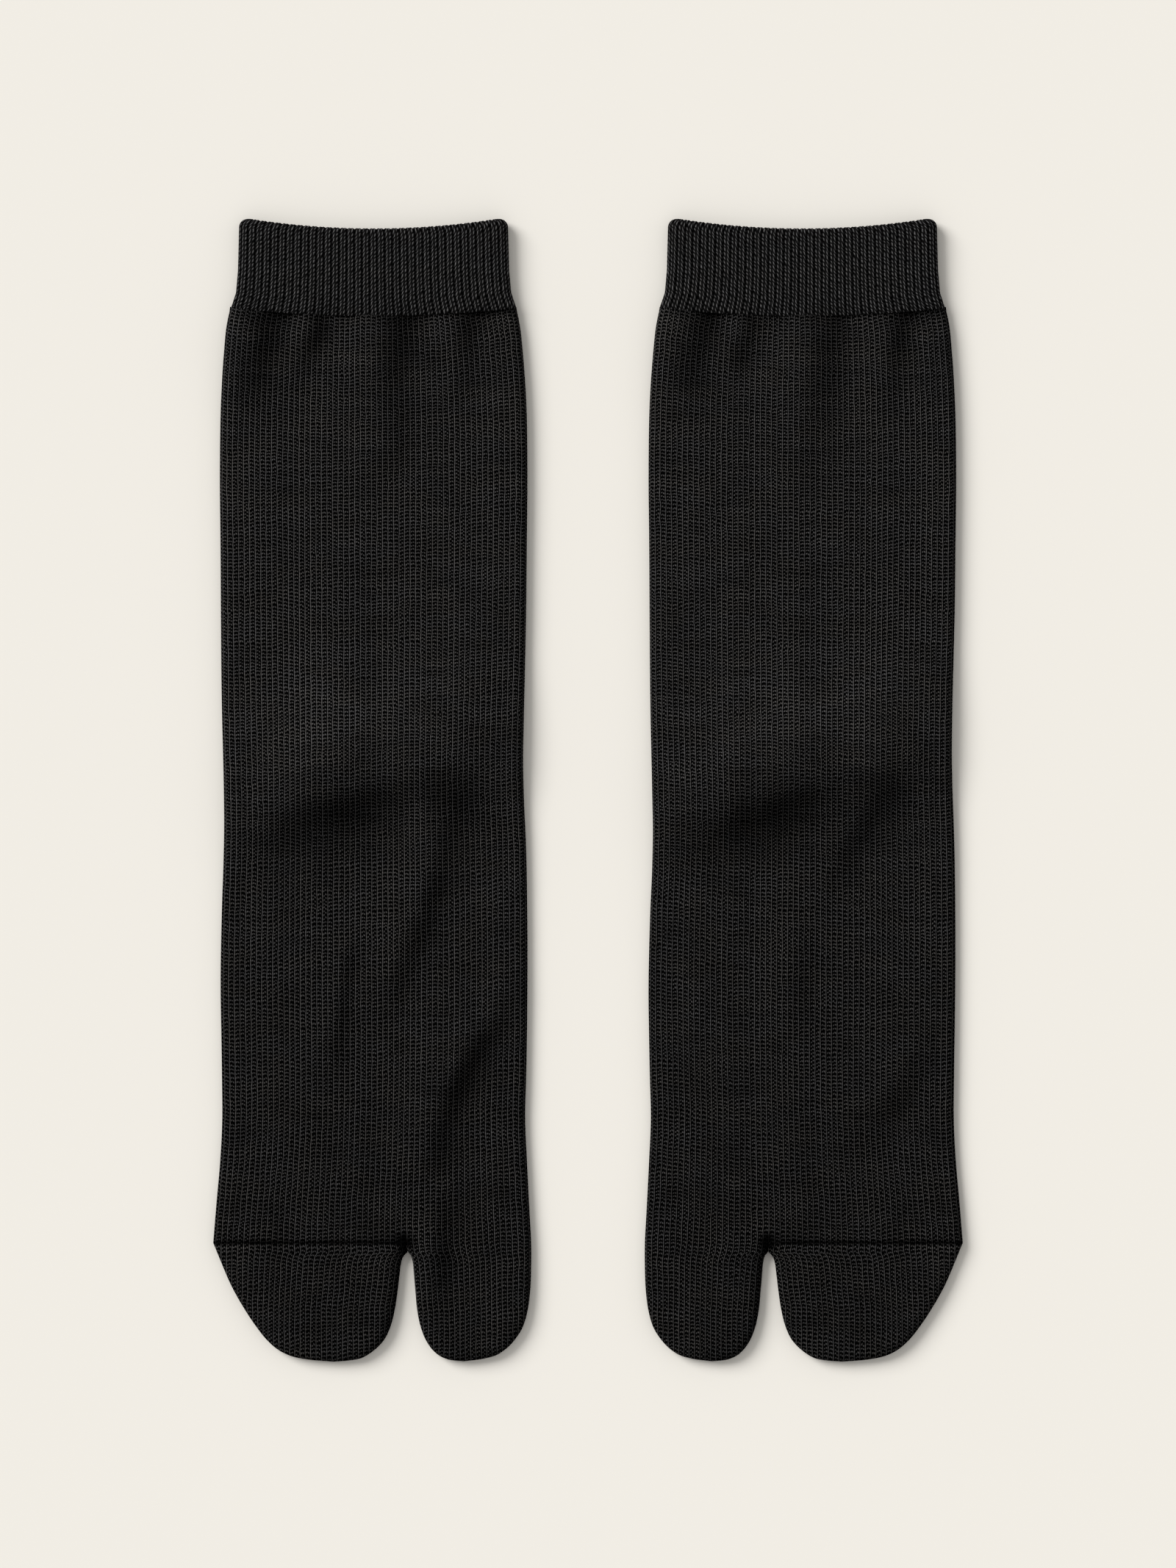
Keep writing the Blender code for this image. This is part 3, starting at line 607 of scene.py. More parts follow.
def leg_places(y, inset, four_toes, big_toe):
    """Places across a row, even round its rounded edges, that part at the cleft in the rows close to it."""
    left, right = edge_x(LITTLE_EDGE, y) + inset, edge_x(BIG_EDGE, y) - inset
    radius = body_thickness(y) / 2 - inset
    slack = radius * (np.pi / 2 - 1.0)  # what a quarter turn takes beyond the width that it covers

    def placed(travelled, length):
        near = np.minimum(travelled, length - travelled)
        in_turn = radius * (1.0 - np.cos(near / radius))
        inwards = np.where(near < radius * np.pi / 2, in_turn, near - slack)
        return np.where(travelled < length / 2, left + inwards, right - inwards)

    length = right - left + 2 * slack
    wales = np.concatenate([four_toes * FOUR_TOE_WALES, FOUR_TOE_WALES + big_toe[1:] * BIG_TOE_WALES])
    even = placed(wales / (FOUR_TOE_WALES + BIG_TOE_WALES) * length, length)
    cleft_at = CLEFT - left + slack
    parted = np.concatenate([four_toes * cleft_at, cleft_at + big_toe[1:] * (length - cleft_at)])
    near_cleft = soft_step((TOE_SEAM + CLEFT_FAN_FROM - y) / CLEFT_FAN_LENGTH)
    return even + (placed(parted, length) - even) * near_cleft


def below(edge, corner):
    """The stretch of an edge that belongs to a toe's rounded tip."""
    return edge[edge[:, 1] <= corner.y]


# A toe's columns of stitches follow its two sides down to its corners, and its tip cuts them off.
Toe = namedtuple("Toe", "left left_corner right right_corner tip gap_on_left")
BIG_TOE = Toe(
    BIG_GAP_EDGE,
    BIG_GAP_CORNER,
    BIG_EDGE,
    BIG_SIDE_CORNER,
    np.concatenate([below(BIG_GAP_EDGE, BIG_GAP_CORNER), below(BIG_EDGE, BIG_SIDE_CORNER)]),
    True,
)
FOUR_TOES = Toe(
    LITTLE_EDGE,
    SEAM_CORNER,
    FOUR_GAP_EDGE,
    FOUR_GAP_CORNER,
    np.concatenate([FOUR_EDGE, below(FOUR_GAP_EDGE, FOUR_GAP_CORNER)]),
    False,
)
TIP_GUESS = -160.0  # where a column's end is first looked for, and in how many steps it settles on the tip
TIP_SEARCHES = 30
SHORTEST_COLUMN = 0.02
TIP_ROUNDING = 2.4  # the last stretch of a column, which rounds over, or else a share of a short column
TIP_ROUNDING_SHARE = 0.6
TIP_ROWS = (0.62, 0.33, 0.12, 0.0)


def side_x(edge, corner, y):
    """A toe's side down to its corner, and straight on below it."""
    return np.where(y > corner.y, edge_x(edge, y), corner.x)


def toe_places(toe, shares, start_y, inset, main_rows):
    """Places down a toe, in rows that close up where its tip rounds over."""
    tip = toe.tip[np.argsort(toe.tip[:, 0])]

    def column_x(y):
        drawn_in = np.clip(TOE_SEAM + inset - y, 0.0, inset)  # none above the cleft
        left = side_x(toe.left, toe.left_corner, y) + (drawn_in if toe.gap_on_left else inset)
        right = side_x(toe.right, toe.right_corner, y) - (inset if toe.gap_on_left else drawn_in)
        return left + shares * (right - left)

    ends = np.full(len(shares), TIP_GUESS)
    for _ in range(TIP_SEARCHES):
        ends = np.minimum(np.interp(column_x(ends), tip[:, 0], tip[:, 1]) + inset, start_y - SHORTEST_COLUMN)
    reach = start_y - ends
    rounding = np.minimum(TIP_ROUNDING, TIP_ROUNDING_SHARE * reach)
    y = [start_y - (reach - rounding) * part for part in main_rows]
    y += [ends + rounding * part for part in TIP_ROWS]
    return np.stack([column_x(row) for row in y]), np.stack(y)


def start_piece():
    """An empty mesh that can note each point's place in the knitting."""
    bm = bmesh.new()
    for note in ("across", "down", "painted_shading"):
        bm.verts.layers.float.new(note)
    bm.faces.layers.int.new("lower")
    return bm


def add_face(bm, points, across, down, is_lower, painted_shading=0.0):
    """Lays a grid of faces over an array of points, and notes each one's place in the knitting."""
    rows, places = points.shape[:2]
    verts = bmesh.ops.create_grid(bm, x_segments=places - 1, y_segments=rows - 1, size=1.0)["verts"]
    for vert, point in zip(verts, points.reshape(-1, 3)):
        vert.co = point
    for note, values in (("across", across), ("down", down), ("painted_shading", painted_shading)):
        layer = bm.verts.layers.float[note]
        for vert, value in zip(verts, np.broadcast_to(values, (rows, places)).ravel()):
            vert[layer] = value
    if is_lower:
        lower_layer = bm.faces.layers.int["lower"]
        for face in {face for vert in verts for face in vert.link_faces}:
            face[lower_layer] = 1


def close_rims(bm):
    """Closes the wall at each opening, between the rim of its outer face and the rim of its inner one."""
    rims = []
    loose = {edge for edge in bm.edges if edge.is_boundary}
    while loose:
        rim, ahead = set(), [loose.pop()]
        while ahead:
            edge = ahead.pop()
            rim.add(edge)
            loose.discard(edge)
            ahead += [other for vert in edge.verts for other in vert.link_edges if other in loose]
        rims.append((np.mean([edge.verts[0].co.y for edge in rim]), len(rims), rim))
    rims.sort()
    for (_, _, one), (_, _, other) in zip(rims[::2], rims[1::2]):
        bmesh.ops.bridge_loops(bm, edges=list(one | other))


def take_note(mesh, note, owners, kind):
    """The values of one note on a mesh's points or faces, which the mesh then drops."""
    values = np.empty(len(owners), kind)
    mesh.attributes[note].data.foreach_get("value", values)
    mesh.attributes.remove(mesh.attributes[note])
    return values


def map_stitches(mesh, wales_round):
    """Turns the notes into a map that counts columns on round the piece, and rows down it."""
    corners = np.empty(len(mesh.loops), int)
    mesh.loops.foreach_get("vertex_index", corners)
    sizes = np.empty(len(mesh.polygons), int)
    mesh.polygons.foreach_get("loop_total", sizes)
    across = take_note(mesh, "across", mesh.vertices, float)[corners]
    down = take_note(mesh, "down", mesh.vertices, float)[corners]
    lower = np.repeat(take_note(mesh, "lower", mesh.polygons, int), sizes)
    across = np.where(lower == 1, wales_round - across, across)
    starts = np.concatenate([[0], np.cumsum(sizes)[:-1]])
    highest = np.repeat(np.maximum.reduceat(across, starts), sizes)
    across = np.where(highest - across > wales_round / 2, across + wales_round, across)
    stitches = mesh.uv_layers.new(name="stitches")
    stitches.data.foreach_set("uv", np.stack([across, down], axis=-1).ravel())


def finish_piece(bm, sock, name, wales_round, material):
    """Welds a piece, closes its wall, sets it in its place, and gives it its stitch map and its object."""
    bmesh.ops.remove_doubles(bm, verts=bm.verts, dist=WELD)
    close_rims(bm)
    for vert in bm.verts:
        vert.co.x = sock.side * (vert.co.x - CENTRE_LINE)
        vert.co *= MM
    bmesh.ops.recalc_face_normals(bm, faces=bm.faces)
    if bm.calc_volume(signed=True) < 0.0:
        bmesh.ops.reverse_faces(bm, faces=bm.faces)
    mesh = bpy.data.meshes.new(f"{sock.name}_{name}")
    bm.to_mesh(mesh)
    bm.free()
    map_stitches(mesh, wales_round)
    mesh.shade_smooth()
    mesh.materials.append(material)
    piece = bpy.data.objects.new(f"{sock.name}_{name}", mesh)
    bpy.context.scene.collection.objects.link(piece)
    return piece


def maths(tree, operation, *values):
    """The output of a new Math node, fed with numbers or with other nodes' outputs."""
    node = tree.nodes.new("ShaderNodeMath")
    node.operation = operation
    for socket, value in zip(node.inputs, values):
        if isinstance(value, (int, float)):
            socket.default_value = value
        else:
            tree.links.new(value, socket)
    return node.outputs[0]


def ramp(tree, value, start, end, low, high):
    """Goes evenly from low to high while the value goes from start to end, and stays level beyond them."""
    node = tree.nodes.new("ShaderNodeMapRange")
    tree.links.new(value, node.inputs["Value"])
    for socket, number in (("From Min", start), ("From Max", end), ("To Min", low), ("To Max", high)):
        node.inputs[socket].default_value = number
    return node.outputs["Result"]


def hump(tree, value, centre, width):
    """1 at the centre, falling softly to 0 a width or so away on each side."""
    off = maths(tree, "DIVIDE", maths(tree, "SUBTRACT", value, centre), width)
    return maths(tree, "EXPONENT", maths(tree, "MULTIPLY", maths(tree, "MULTIPLY", off, off), -1.0))


def soft_noise(tree, place, scale, detail, roughness=0.5):
    """Soft noise over the stitches, about 0.5 on the average."""
    node = tree.nodes.new("ShaderNodeTexNoise")
    node.noise_dimensions = "2D"
    tree.links.new(place, node.inputs["Vector"])
    for socket, number in (("Scale", scale), ("Detail", detail), ("Roughness", roughness)):
        node.inputs[socket].default_value = number
    return node.outputs["Fac"]


def chance_of(tree, column, row=None):
    """A number from 0 to 1 that is another one for each column, or for each row of each column."""
    node = tree.nodes.new("ShaderNodeTexWhiteNoise")
    if row is None:
        node.noise_dimensions = "1D"
        tree.links.new(column, node.inputs["W"])
        return node.outputs["Value"]
    node.noise_dimensions = "2D"
    place = tree.nodes.new("ShaderNodeCombineXYZ")
    tree.links.new(column, place.inputs["X"])
    tree.links.new(row, place.inputs["Y"])
    tree.links.new(place.outputs["Vector"], node.inputs["Vector"])
    return node.outputs["Value"]


# A line of short strands down a column of stitches: its place and half its width as shares of the column, how
# many rows a strand would rise across the whole column, how many rows the line is shifted by, and how sharply
# one strand ends before the next. Each strand is a little brighter or duller, higher or lower than the next.
Strands = namedtuple("Strands", "place half_width slant shift sharpness")
STRAND_STAGGER = 0.16
STRAND_SHADE = 0.72
STRAND_SHADE_CHANCE = 0.3


def strand_line(tree, knit, course, line):
    """How high the strands of one line stand at a place."""
    across = maths(tree, "SUBTRACT", knit.wale, line.place)
    turned = maths(tree, "ADD", maths(tree, "MULTIPLY_ADD", across, line.slant, course), line.shift)
    own_strand = maths(tree, "FLOOR", maths(tree, "ADD", turned, 0.5))
    chance = chance_of(tree, maths(tree, "ADD", knit.column, line.place), own_strand)
    turned = maths(tree, "MULTIPLY_ADD", maths(tree, "SUBTRACT", chance, 0.5), STRAND_STAGGER, turned)
    wave = maths(tree, "COSINE", maths(tree, "MULTIPLY", turned, 2 * np.pi))
    row = maths(tree, "POWER", maths(tree, "MULTIPLY_ADD", wave, 0.5, 0.5), line.sharpness)
    shade = maths(tree, "MULTIPLY_ADD", chance, STRAND_SHADE_CHANCE, STRAND_SHADE)
    inside = hump(tree, knit.wale, line.place, line.half_width)
    return maths(tree, "MULTIPLY", maths(tree, "MULTIPLY", row, shade), inside)


# What a place in the knitting is given by: the map's own vector and its rows, and, wandering a little, which
# column it lies in, how far across that column, its row, and the column's own chance.
Knit = namedtuple("Knit", "group result place rows column wale course chance")


def start_knit(name, wander_scale, stray_across, stray_along):
    """A shader group for a knit, up to the place of each point in its own stitch."""
    group = bpy.data.node_groups.new(name, "ShaderNodeTree")
    group.interface.new_socket("Stitches", in_out="INPUT", socket_type="NodeSocketVector")
    unevenness = group.interface.new_socket("Unevenness", in_out="INPUT", socket_type="NodeSocketFloat")
    unevenness.default_value = 1.0
    for output in ("Strands", "Mottle"):
        group.interface.new_socket(output, in_out="OUTPUT", socket_type="NodeSocketFloat")
    given, result = group.nodes.new("NodeGroupInput"), group.nodes.new("NodeGroupOutput")
    place = given.outputs["Stitches"]
    split = group.nodes.new("ShaderNodeSeparateXYZ")
    group.links.new(place, split.inputs[0])
    wander = maths(group, "SUBTRACT", soft_noise(group, place, wander_scale, detail=2.0), 0.5)
    stray = maths(group, "MULTIPLY", wander, given.outputs["Unevenness"])
    wale_at = maths(group, "MULTIPLY_ADD", stray, stray_across, split.outputs["X"])
    column = maths(group, "FLOOR", wale_at)
    chance = chance_of(group, column)
    course = maths(group, "MULTIPLY_ADD", stray, stray_along, split.outputs["Y"])
    course = maths(group, "ADD", chance, course)
    wale = maths(group, "FRACT", wale_at)
    return Knit(group, result, place, split.outputs["Y"], column, wale, course, chance)


# Plain knitting seen from its face: in each column a long strand that runs on, and short slanted ones beside
# it. The outer line of short strands is shifted against the middle one, in one column and in one patch more
# than in another.
LONG_STRAND = 0.14
LONG_HALF_WIDTH = 0.072
LONG_SHADE = 0.55
LONG_SHADE_CHANCE = 0.2
LONG_BEAD_SHADE = 0.38
LONG_BEADS = Strands(LONG_STRAND, 0.5, 0.3, 0.0, 1.0)
MIDDLE_STRANDS = Strands(0.44, 0.115, 0.9, 0.0, 2.4)
OUTER_STRANDS = Strands(0.77, 0.113, -0.8, 0.0, 2.4)
OUTER_SHADE = 0.92
SECOND_CHANCE = 7.0  # a column's chance times this, without its whole part, serves as a second chance
OUTER_SHIFT_BY_COLUMN = 0.4
OUTER_SHIFT_BY_PATCH = 1.3
OUTER_SHIFT_ON_FOOT = 0.13
PATCH_SCALE = 0.1
FOOT_BLEND = 12.0  # in rows, before the heel's seam and past it
ROW_STREAKS = (0.09, 0.9, 1.0)  # noise stretched along the rows
CLOUD_SCALE = 0.13
GRAIN_SCALE = 1.7
GRAIN_ROUGHNESS = 0.7
GRAIN_SHARE = 0.6
MOTTLE_FLOOR = 0.3


def make_plain_knit():
    """The height of the strands, and how mottled the cloth is, over the stitches of plain knitting."""
    knit = start_knit("plain_knit", wander_scale=0.3, stray_across=0.3, stray_along=0.7)
    group = knit.group
    by_column = maths(group, "FRACT", maths(group, "MULTIPLY", knit.chance, SECOND_CHANCE))
    by_column = maths(group, "SUBTRACT", by_column, 0.5)
    by_patch = maths(group, "SUBTRACT", soft_noise(group, knit.place, PATCH_SCALE, detail=1.0), 0.5)
    heel = courses_down(HEEL_SEAM)
    outer_course = maths(group, "MULTIPLY_ADD", by_column, OUTER_SHIFT_BY_COLUMN, knit.course)
    outer_course = maths(group, "MULTIPLY_ADD", by_patch, OUTER_SHIFT_BY_PATCH, outer_course)
    on_foot = ramp(group, knit.rows, heel - FOOT_BLEND, heel + FOOT_BLEND, 0.0, OUTER_SHIFT_ON_FOOT)
    outer_course = maths(group, "ADD", on_foot, outer_course)

    shade = maths(group, "MULTIPLY_ADD", knit.chance, LONG_SHADE_CHANCE, LONG_SHADE)
    beads = strand_line(group, knit, knit.course, LONG_BEADS)
    shade = maths(group, "MULTIPLY_ADD", beads, LONG_BEAD_SHADE, shade)
    long_strand = maths(group, "MULTIPLY", hump(group, knit.wale, LONG_STRAND, LONG_HALF_WIDTH), shade)
    middle = strand_line(group, knit, knit.course, MIDDLE_STRANDS)
    outer = strand_line(group, knit, outer_course, OUTER_STRANDS)
    strands = maths(group, "MAXIMUM", long_strand, middle)
    strands = maths(group, "MAXIMUM", strands, maths(group, "MULTIPLY", outer, OUTER_SHADE))
    group.links.new(strands, knit.result.inputs["Strands"])

    stretched = group.nodes.new("ShaderNodeMapping")
    stretched.vector_type = "POINT"
    stretched.inputs["Scale"].default_value = ROW_STREAKS
    group.links.new(knit.place, stretched.inputs["Vector"])
    streaks = soft_noise(group, stretched.outputs["Vector"], scale=1.0, detail=1.0)
    clouds = soft_noise(group, knit.place, CLOUD_SCALE, detail=2.0)
    grain = soft_noise(group, knit.place, GRAIN_SCALE, detail=3.0, roughness=GRAIN_ROUGHNESS)
    mottle = maths(group, "MULTIPLY_ADD", streaks, 0.5, maths(group, "MULTIPLY", clouds, 0.5))
    mottle = maths(group, "MULTIPLY_ADD", grain, GRAIN_SHARE, mottle)
    group.links.new(maths(group, "SUBTRACT", mottle, MOTTLE_FLOOR), knit.result.inputs["Mottle"])
    return group


YARN = ((0.133, 0.1295, 0.130), (0.139, 0.1315, 0.1245))  # where the dye is cooler, and where it is warmer
DYE_SCALE = 0.14
DYE_CONTRAST = 3.0
# Between the strands, in the plain knit and in the rib's valleys: the dark yarn, and painted shade in the
# hollows there.
BETWEEN_YARNS = (0.0004, 0.0004, 0.0004)
STRAND_CONTRAST = 1.5
MOTTLE_SHARE = 1.15
MOTTLE_BASE = 0.42
PAINTED_SHADE_STRENGTH = 0.62  # how much darker the painted shading makes the strands at its full strength
FOOT_SHADE = 0.28  # and towards the toes, where it is knitted tighter
ANKLE_COURSE = 110.0
TOE_COURSE = 250.0
COTTON_ROUGHNESS = 0.88
BUMP_STRENGTH = 0.6


def knit_material(name, pattern, strand_height, yarn=YARN):
    """Matt black cotton with the strands raised, nearly black between them as dark yarn and as painted shade
    in the hollows, and darkened or lightened by the painted shading on its points.
    """
    material = bpy.data.materials.new(name)
    material.use_nodes = True
    tree = material.node_tree
    shader = tree.nodes["Principled BSDF"]
    stitches = tree.nodes.new("ShaderNodeUVMap")
    stitches.uv_map = "stitches"
    knit = tree.nodes.new("ShaderNodeGroup")
    knit.node_tree = pattern
    tree.links.new(stitches.outputs["UV"], knit.inputs["Stitches"])

    # The points' painted shading: painted shade darkens the strands, and below 0 painted light brightens
    # them.
    painted_shading = tree.nodes.new("ShaderNodeAttribute")
    painted_shading.attribute_name = "painted_shading"
    shade_and_foot_tone = maths(tree, "MULTIPLY_ADD", painted_shading.outputs["Fac"], -PAINTED_SHADE_STRENGTH, 1.0)
    split = tree.nodes.new("ShaderNodeSeparateXYZ")
    tree.links.new(stitches.outputs["UV"], split.inputs[0])
    tightness = ramp(tree, split.outputs["Y"], ANKLE_COURSE, TOE_COURSE, 1.0, 1.0 - FOOT_SHADE)
    shade_and_foot_tone = maths(tree, "MULTIPLY", shade_and_foot_tone, tightness)
    lit = maths(tree, "POWER", knit.outputs["Strands"], STRAND_CONTRAST)
    mottle = maths(tree, "MULTIPLY_ADD", knit.outputs["Mottle"], MOTTLE_SHARE, MOTTLE_BASE)
    lit = maths(tree, "MULTIPLY", maths(tree, "MULTIPLY", lit, mottle), shade_and_foot_tone)

    dye = soft_noise(tree, stitches.outputs["UV"], DYE_SCALE, detail=2.0)
    dyed = tree.nodes.new("ShaderNodeMix")
    dyed.data_type = "RGBA"
    dye = maths(tree, "MULTIPLY_ADD", dye, DYE_CONTRAST, 0.5 - 0.5 * DYE_CONTRAST)
    tree.links.new(dye, dyed.inputs["Factor"])
    for end, shade in zip(("A", "B"), yarn):
        dyed.inputs[end].default_value = (*shade, 1.0)
    colour = tree.nodes.new("ShaderNodeMix")
    colour.data_type = "RGBA"
    colour.inputs["A"].default_value = (*BETWEEN_YARNS, 1.0)
    tree.links.new(lit, colour.inputs["Factor"])
    tree.links.new(dyed.outputs["Result"], colour.inputs["B"])
    tree.links.new(colour.outputs["Result"], shader.inputs["Base Color"])

    bump = tree.nodes.new("ShaderNodeBump")
    bump.inputs["Strength"].default_value = BUMP_STRENGTH
    bump.inputs["Distance"].default_value = strand_height * MM
    tree.links.new(knit.outputs["Strands"], bump.inputs["Height"])
    tree.links.new(bump.outputs["Normal"], shader.inputs["Normal"])
    shader.inputs["Roughness"].default_value = COTTON_ROUGHNESS
    shader.inputs["Specular IOR Level"].default_value = 0.0
    return material


PLAIN_KNIT_CLOTH = knit_material("plain_black_knit", make_plain_knit(), strand_height=0.35)
SEAM_ROWS = TOE_SEAM + np.array([3.4, 2.5, 1.8, 1.2, 0.7, 0.3, 0.0])
LEG_ROWS = np.concatenate(
    [
        [CUFF_SEAM + 0.5],
        np.linspace(CUFF_SEAM - 1.0, 40.0, 54),
        np.linspace(38.2, -14.0, 30),
        np.linspace(-15.9, TOE_SEAM + 4.6, 60),
        SEAM_ROWS,
    ]
)
TOE_ROWS = np.concatenate(
    [[0.0, 0.012, 0.03, 0.06, 0.09, 0.12, 0.145, 0.17, 0.21], np.linspace(0.26, 1.0, 12)]
)
LEAST_ROW = 0.05  # rows of the leg that are closer together than this are left out

# The two skins of the wall: how far in from the outer face, points to a column, and every how many rows.
Skin = namedtuple("Skin", "inset points_each row_step")
SKINS = (Skin(0.0, WALE_POINTS, 1), Skin(CLOTH, 1, 2))


def make_leg_and_foot(sock):
    """The tube from the cuff's seam to the big toe's tip, with its outer and its inner skin."""
    bm = start_piece()
    for inset, points_each, row_step in SKINS:
        four_toes, big_toe = column_shares(points_each)
        wale = np.concatenate([four_toes * FOUR_TOE_WALES, FOUR_TOE_WALES + big_toe[1:] * BIG_TOE_WALES])
        relief = None if inset else np.resize(WALE_VALLEYS, len(wale))
        rows = LEG_ROWS[::row_step].copy()
        rows[-1] = TOE_SEAM + inset
        rows = rows[np.concatenate([[True], np.diff(rows) < -LEAST_ROW])]
        x = np.stack([leg_places(y, inset, four_toes, big_toe) for y in rows])
        y = np.repeat(rows[:, None], x.shape[1], axis=1)
        cleft = len(four_toes) - 1
        start = x[-1, cleft:]
        shares = (start - start[0]) / (start[-1] - start[0])
        toe_x, toe_y = toe_places(BIG_TOE, shares, TOE_SEAM + inset, inset, TOE_ROWS[::row_step])
        toe_relief = None if inset else relief[cleft:]
        for face in (1, -1):
            leg, painted_shading = face_points(x, y, inset, face, sock, relief)
            add_face(bm, leg, wale, courses_down(leg[..., 1] + hang(x, y)), face < 0, painted_shading)
            toe, painted_shading = face_points(toe_x, toe_y, inset, face, sock, toe_relief, ends_in_tip=True)
            toe[0] = leg[-1, cleft:]
            add_face(bm, toe, wale[cleft:], courses_down(toe_y), face < 0, painted_shading)
    return finish_piece(bm, sock, "leg_and_foot", 2 * (FOUR_TOE_WALES + BIG_TOE_WALES), PLAIN_KNIT_CLOTH)


def declare(piece, node):
    """The piece stands for its solid, which is hidden, and rides with the pair; it is sized in metres."""
    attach(piece, "root")
    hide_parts(node)


# ------------------------------------------------------------------------------
# The heel pouch of each sock. It is knitted to and fro as a rounded pouch and, with no foot in it, folds flat
# under the ankle, where the leg rests on it.
# ------------------------------------------------------------------------------
HEEL_CLOTH = 1.0
HEEL_WALES = 43
HEEL_ROWS = 30
HEEL_SKINS = ((0.0, 2 * HEEL_WALES, HEEL_ROWS), (HEEL_CLOTH, HEEL_WALES, HEEL_ROWS // 2))
HEEL_TURN = np.radians(88.0)  # the rows stop just short of the pouch's tip
HEEL_TIP_DEPTH = 0.02


def heel_points(inset, turns, places, face, sock):
    """The upper or the lower face of the folded pouch, in rows from its seam to its tip."""
    y = (HEEL_LENGTH - inset) * np.sin(turns)[:, None]
    half_width = (HEEL_HALF_WIDTH - inset) * np.cos(turns)[:, None]
    x = half_width * np.sin(places * np.pi / 2)
    off_edge = 1.0 - np.hypot(x / (HEEL_HALF_WIDTH - inset), y / (HEEL_LENGTH - inset))
    depth = np.maximum(off_edge * HEEL_LENGTH, HEEL_TIP_DEPTH * (1.0 - np.abs(places)))
    thickness = heel_thickness(HEEL_SEAM + y)
    radius = thickness / 2 - inset
    half = radius * np.sqrt(1.0 - (1.0 - np.clip(depth / radius, 0.0, 1.0)) ** 2)
    half[:, [0, -1]] = 0.0
    half[-1] = 0.0
    y = HEEL_SEAM + y + sock.slant * sock.side * x
    return np.stack([x, y, thickness / 2 + face * half], axis=-1)


def make_heel(sock):
    """The folded pouch, open along its seam."""
    bm = start_piece()
    for inset, steps, row_count in HEEL_SKINS:
        turns = np.linspace(0.0, HEEL_TURN, row_count)
        places = np.linspace(-1.0, 1.0, steps + 1)
        across = np.linspace(0.0, HEEL_WALES, steps + 1)
        down = HEEL_LENGTH * np.sin(turns)[:, None] / FOOT_COURSE
        for face in (1, -1):
            add_face(bm, heel_points(inset, turns, places, face, sock), across, down, face < 0)
    return finish_piece(bm, sock, "heel_pouch", 2 * HEEL_WALES, PLAIN_KNIT_CLOTH)


# ------------------------------------------------------------------------------
# The toe cap over the four smaller toes of each sock: the same plain knit, closed by linking it to the foot
# along a straight seam. Its columns run straight down and end at its rounded and slanting edge.
# ------------------------------------------------------------------------------


def make_toe_cap(sock):
    """The pocket for the four toes, open along its seam."""
    bm = start_piece()
    for inset, points_each, row_step in SKINS:
        four_toes, big_toe = column_shares(points_each)
        relief = None if inset else np.resize(WALE_VALLEYS, len(four_toes))
        start = leg_places(TOE_SEAM, inset, four_toes, big_toe)[: len(four_toes)]
        shares = (start - start[0]) / (start[-1] - start[0])
        x, y = toe_places(FOUR_TOES, shares, TOE_SEAM, inset, TOE_ROWS[::row_step])
        for face in (1, -1):
            points, painted_shading = face_points(x, y, inset, face, sock, relief, ends_in_tip=True)
            add_face(bm, points, four_toes * FOUR_TOE_WALES, courses_down(y), face < 0, painted_shading)
    return finish_piece(bm, sock, "toe_pocket", 2 * FOUR_TOE_WALES, PLAIN_KNIT_CLOTH)


# ------------------------------------------------------------------------------
# The ribbed cuff of each sock: a thick band of single rib with rubber thread in it, knitted first. Its
# columns stand out as round ribs, it draws in a little above its seam, and its upper rim is scalloped by the
# ribs.
# ------------------------------------------------------------------------------
CUFF_THICKNESS = 5.8
CUFF_WALL = 2.4
CUFF_LENGTH = 27.7
CUFF_TOP_SAG = 3.9
CUFF_CORNER = 2.9
CUFF_RIBS = 74
CUFF_COURSE = 1.31
CUFF_START = 0.5  # above the seam, where the outer face begins and the inner one ends
CUFF_UNDERSIDE = 0.1
CUFF_UNDERSIDE_PLACES = (0.85, 0.5, 0.15)  # as shares of the wall
CUFF_INNER_ROWS = 9
RIM_HEIGHT = 1.2
RIM_RISE = 1.0
RIM_SCALLOP = 0.35
RIM_STEPS = 7
RIB_RISE = 0.4
RIB_BEAD = 0.05
RIB_POINTS = 8
RIB_HEIGHTS = (0.0, 0.62, 0.97, 0.92, 0.62, 0.92, 0.97, 0.62)  # across a rib, from one valley to the next

CuffWidth = namedtuple("CuffWidth", "rise half_width")
CUFF_WIDTHS = (
    CuffWidth(0.0, CUFF_SEAM_HALF_WIDTH),
    CuffWidth(5.0, 41.2),
    CuffWidth(12.0, 40.6),
    CuffWidth(CUFF_LENGTH, 40.2),
)


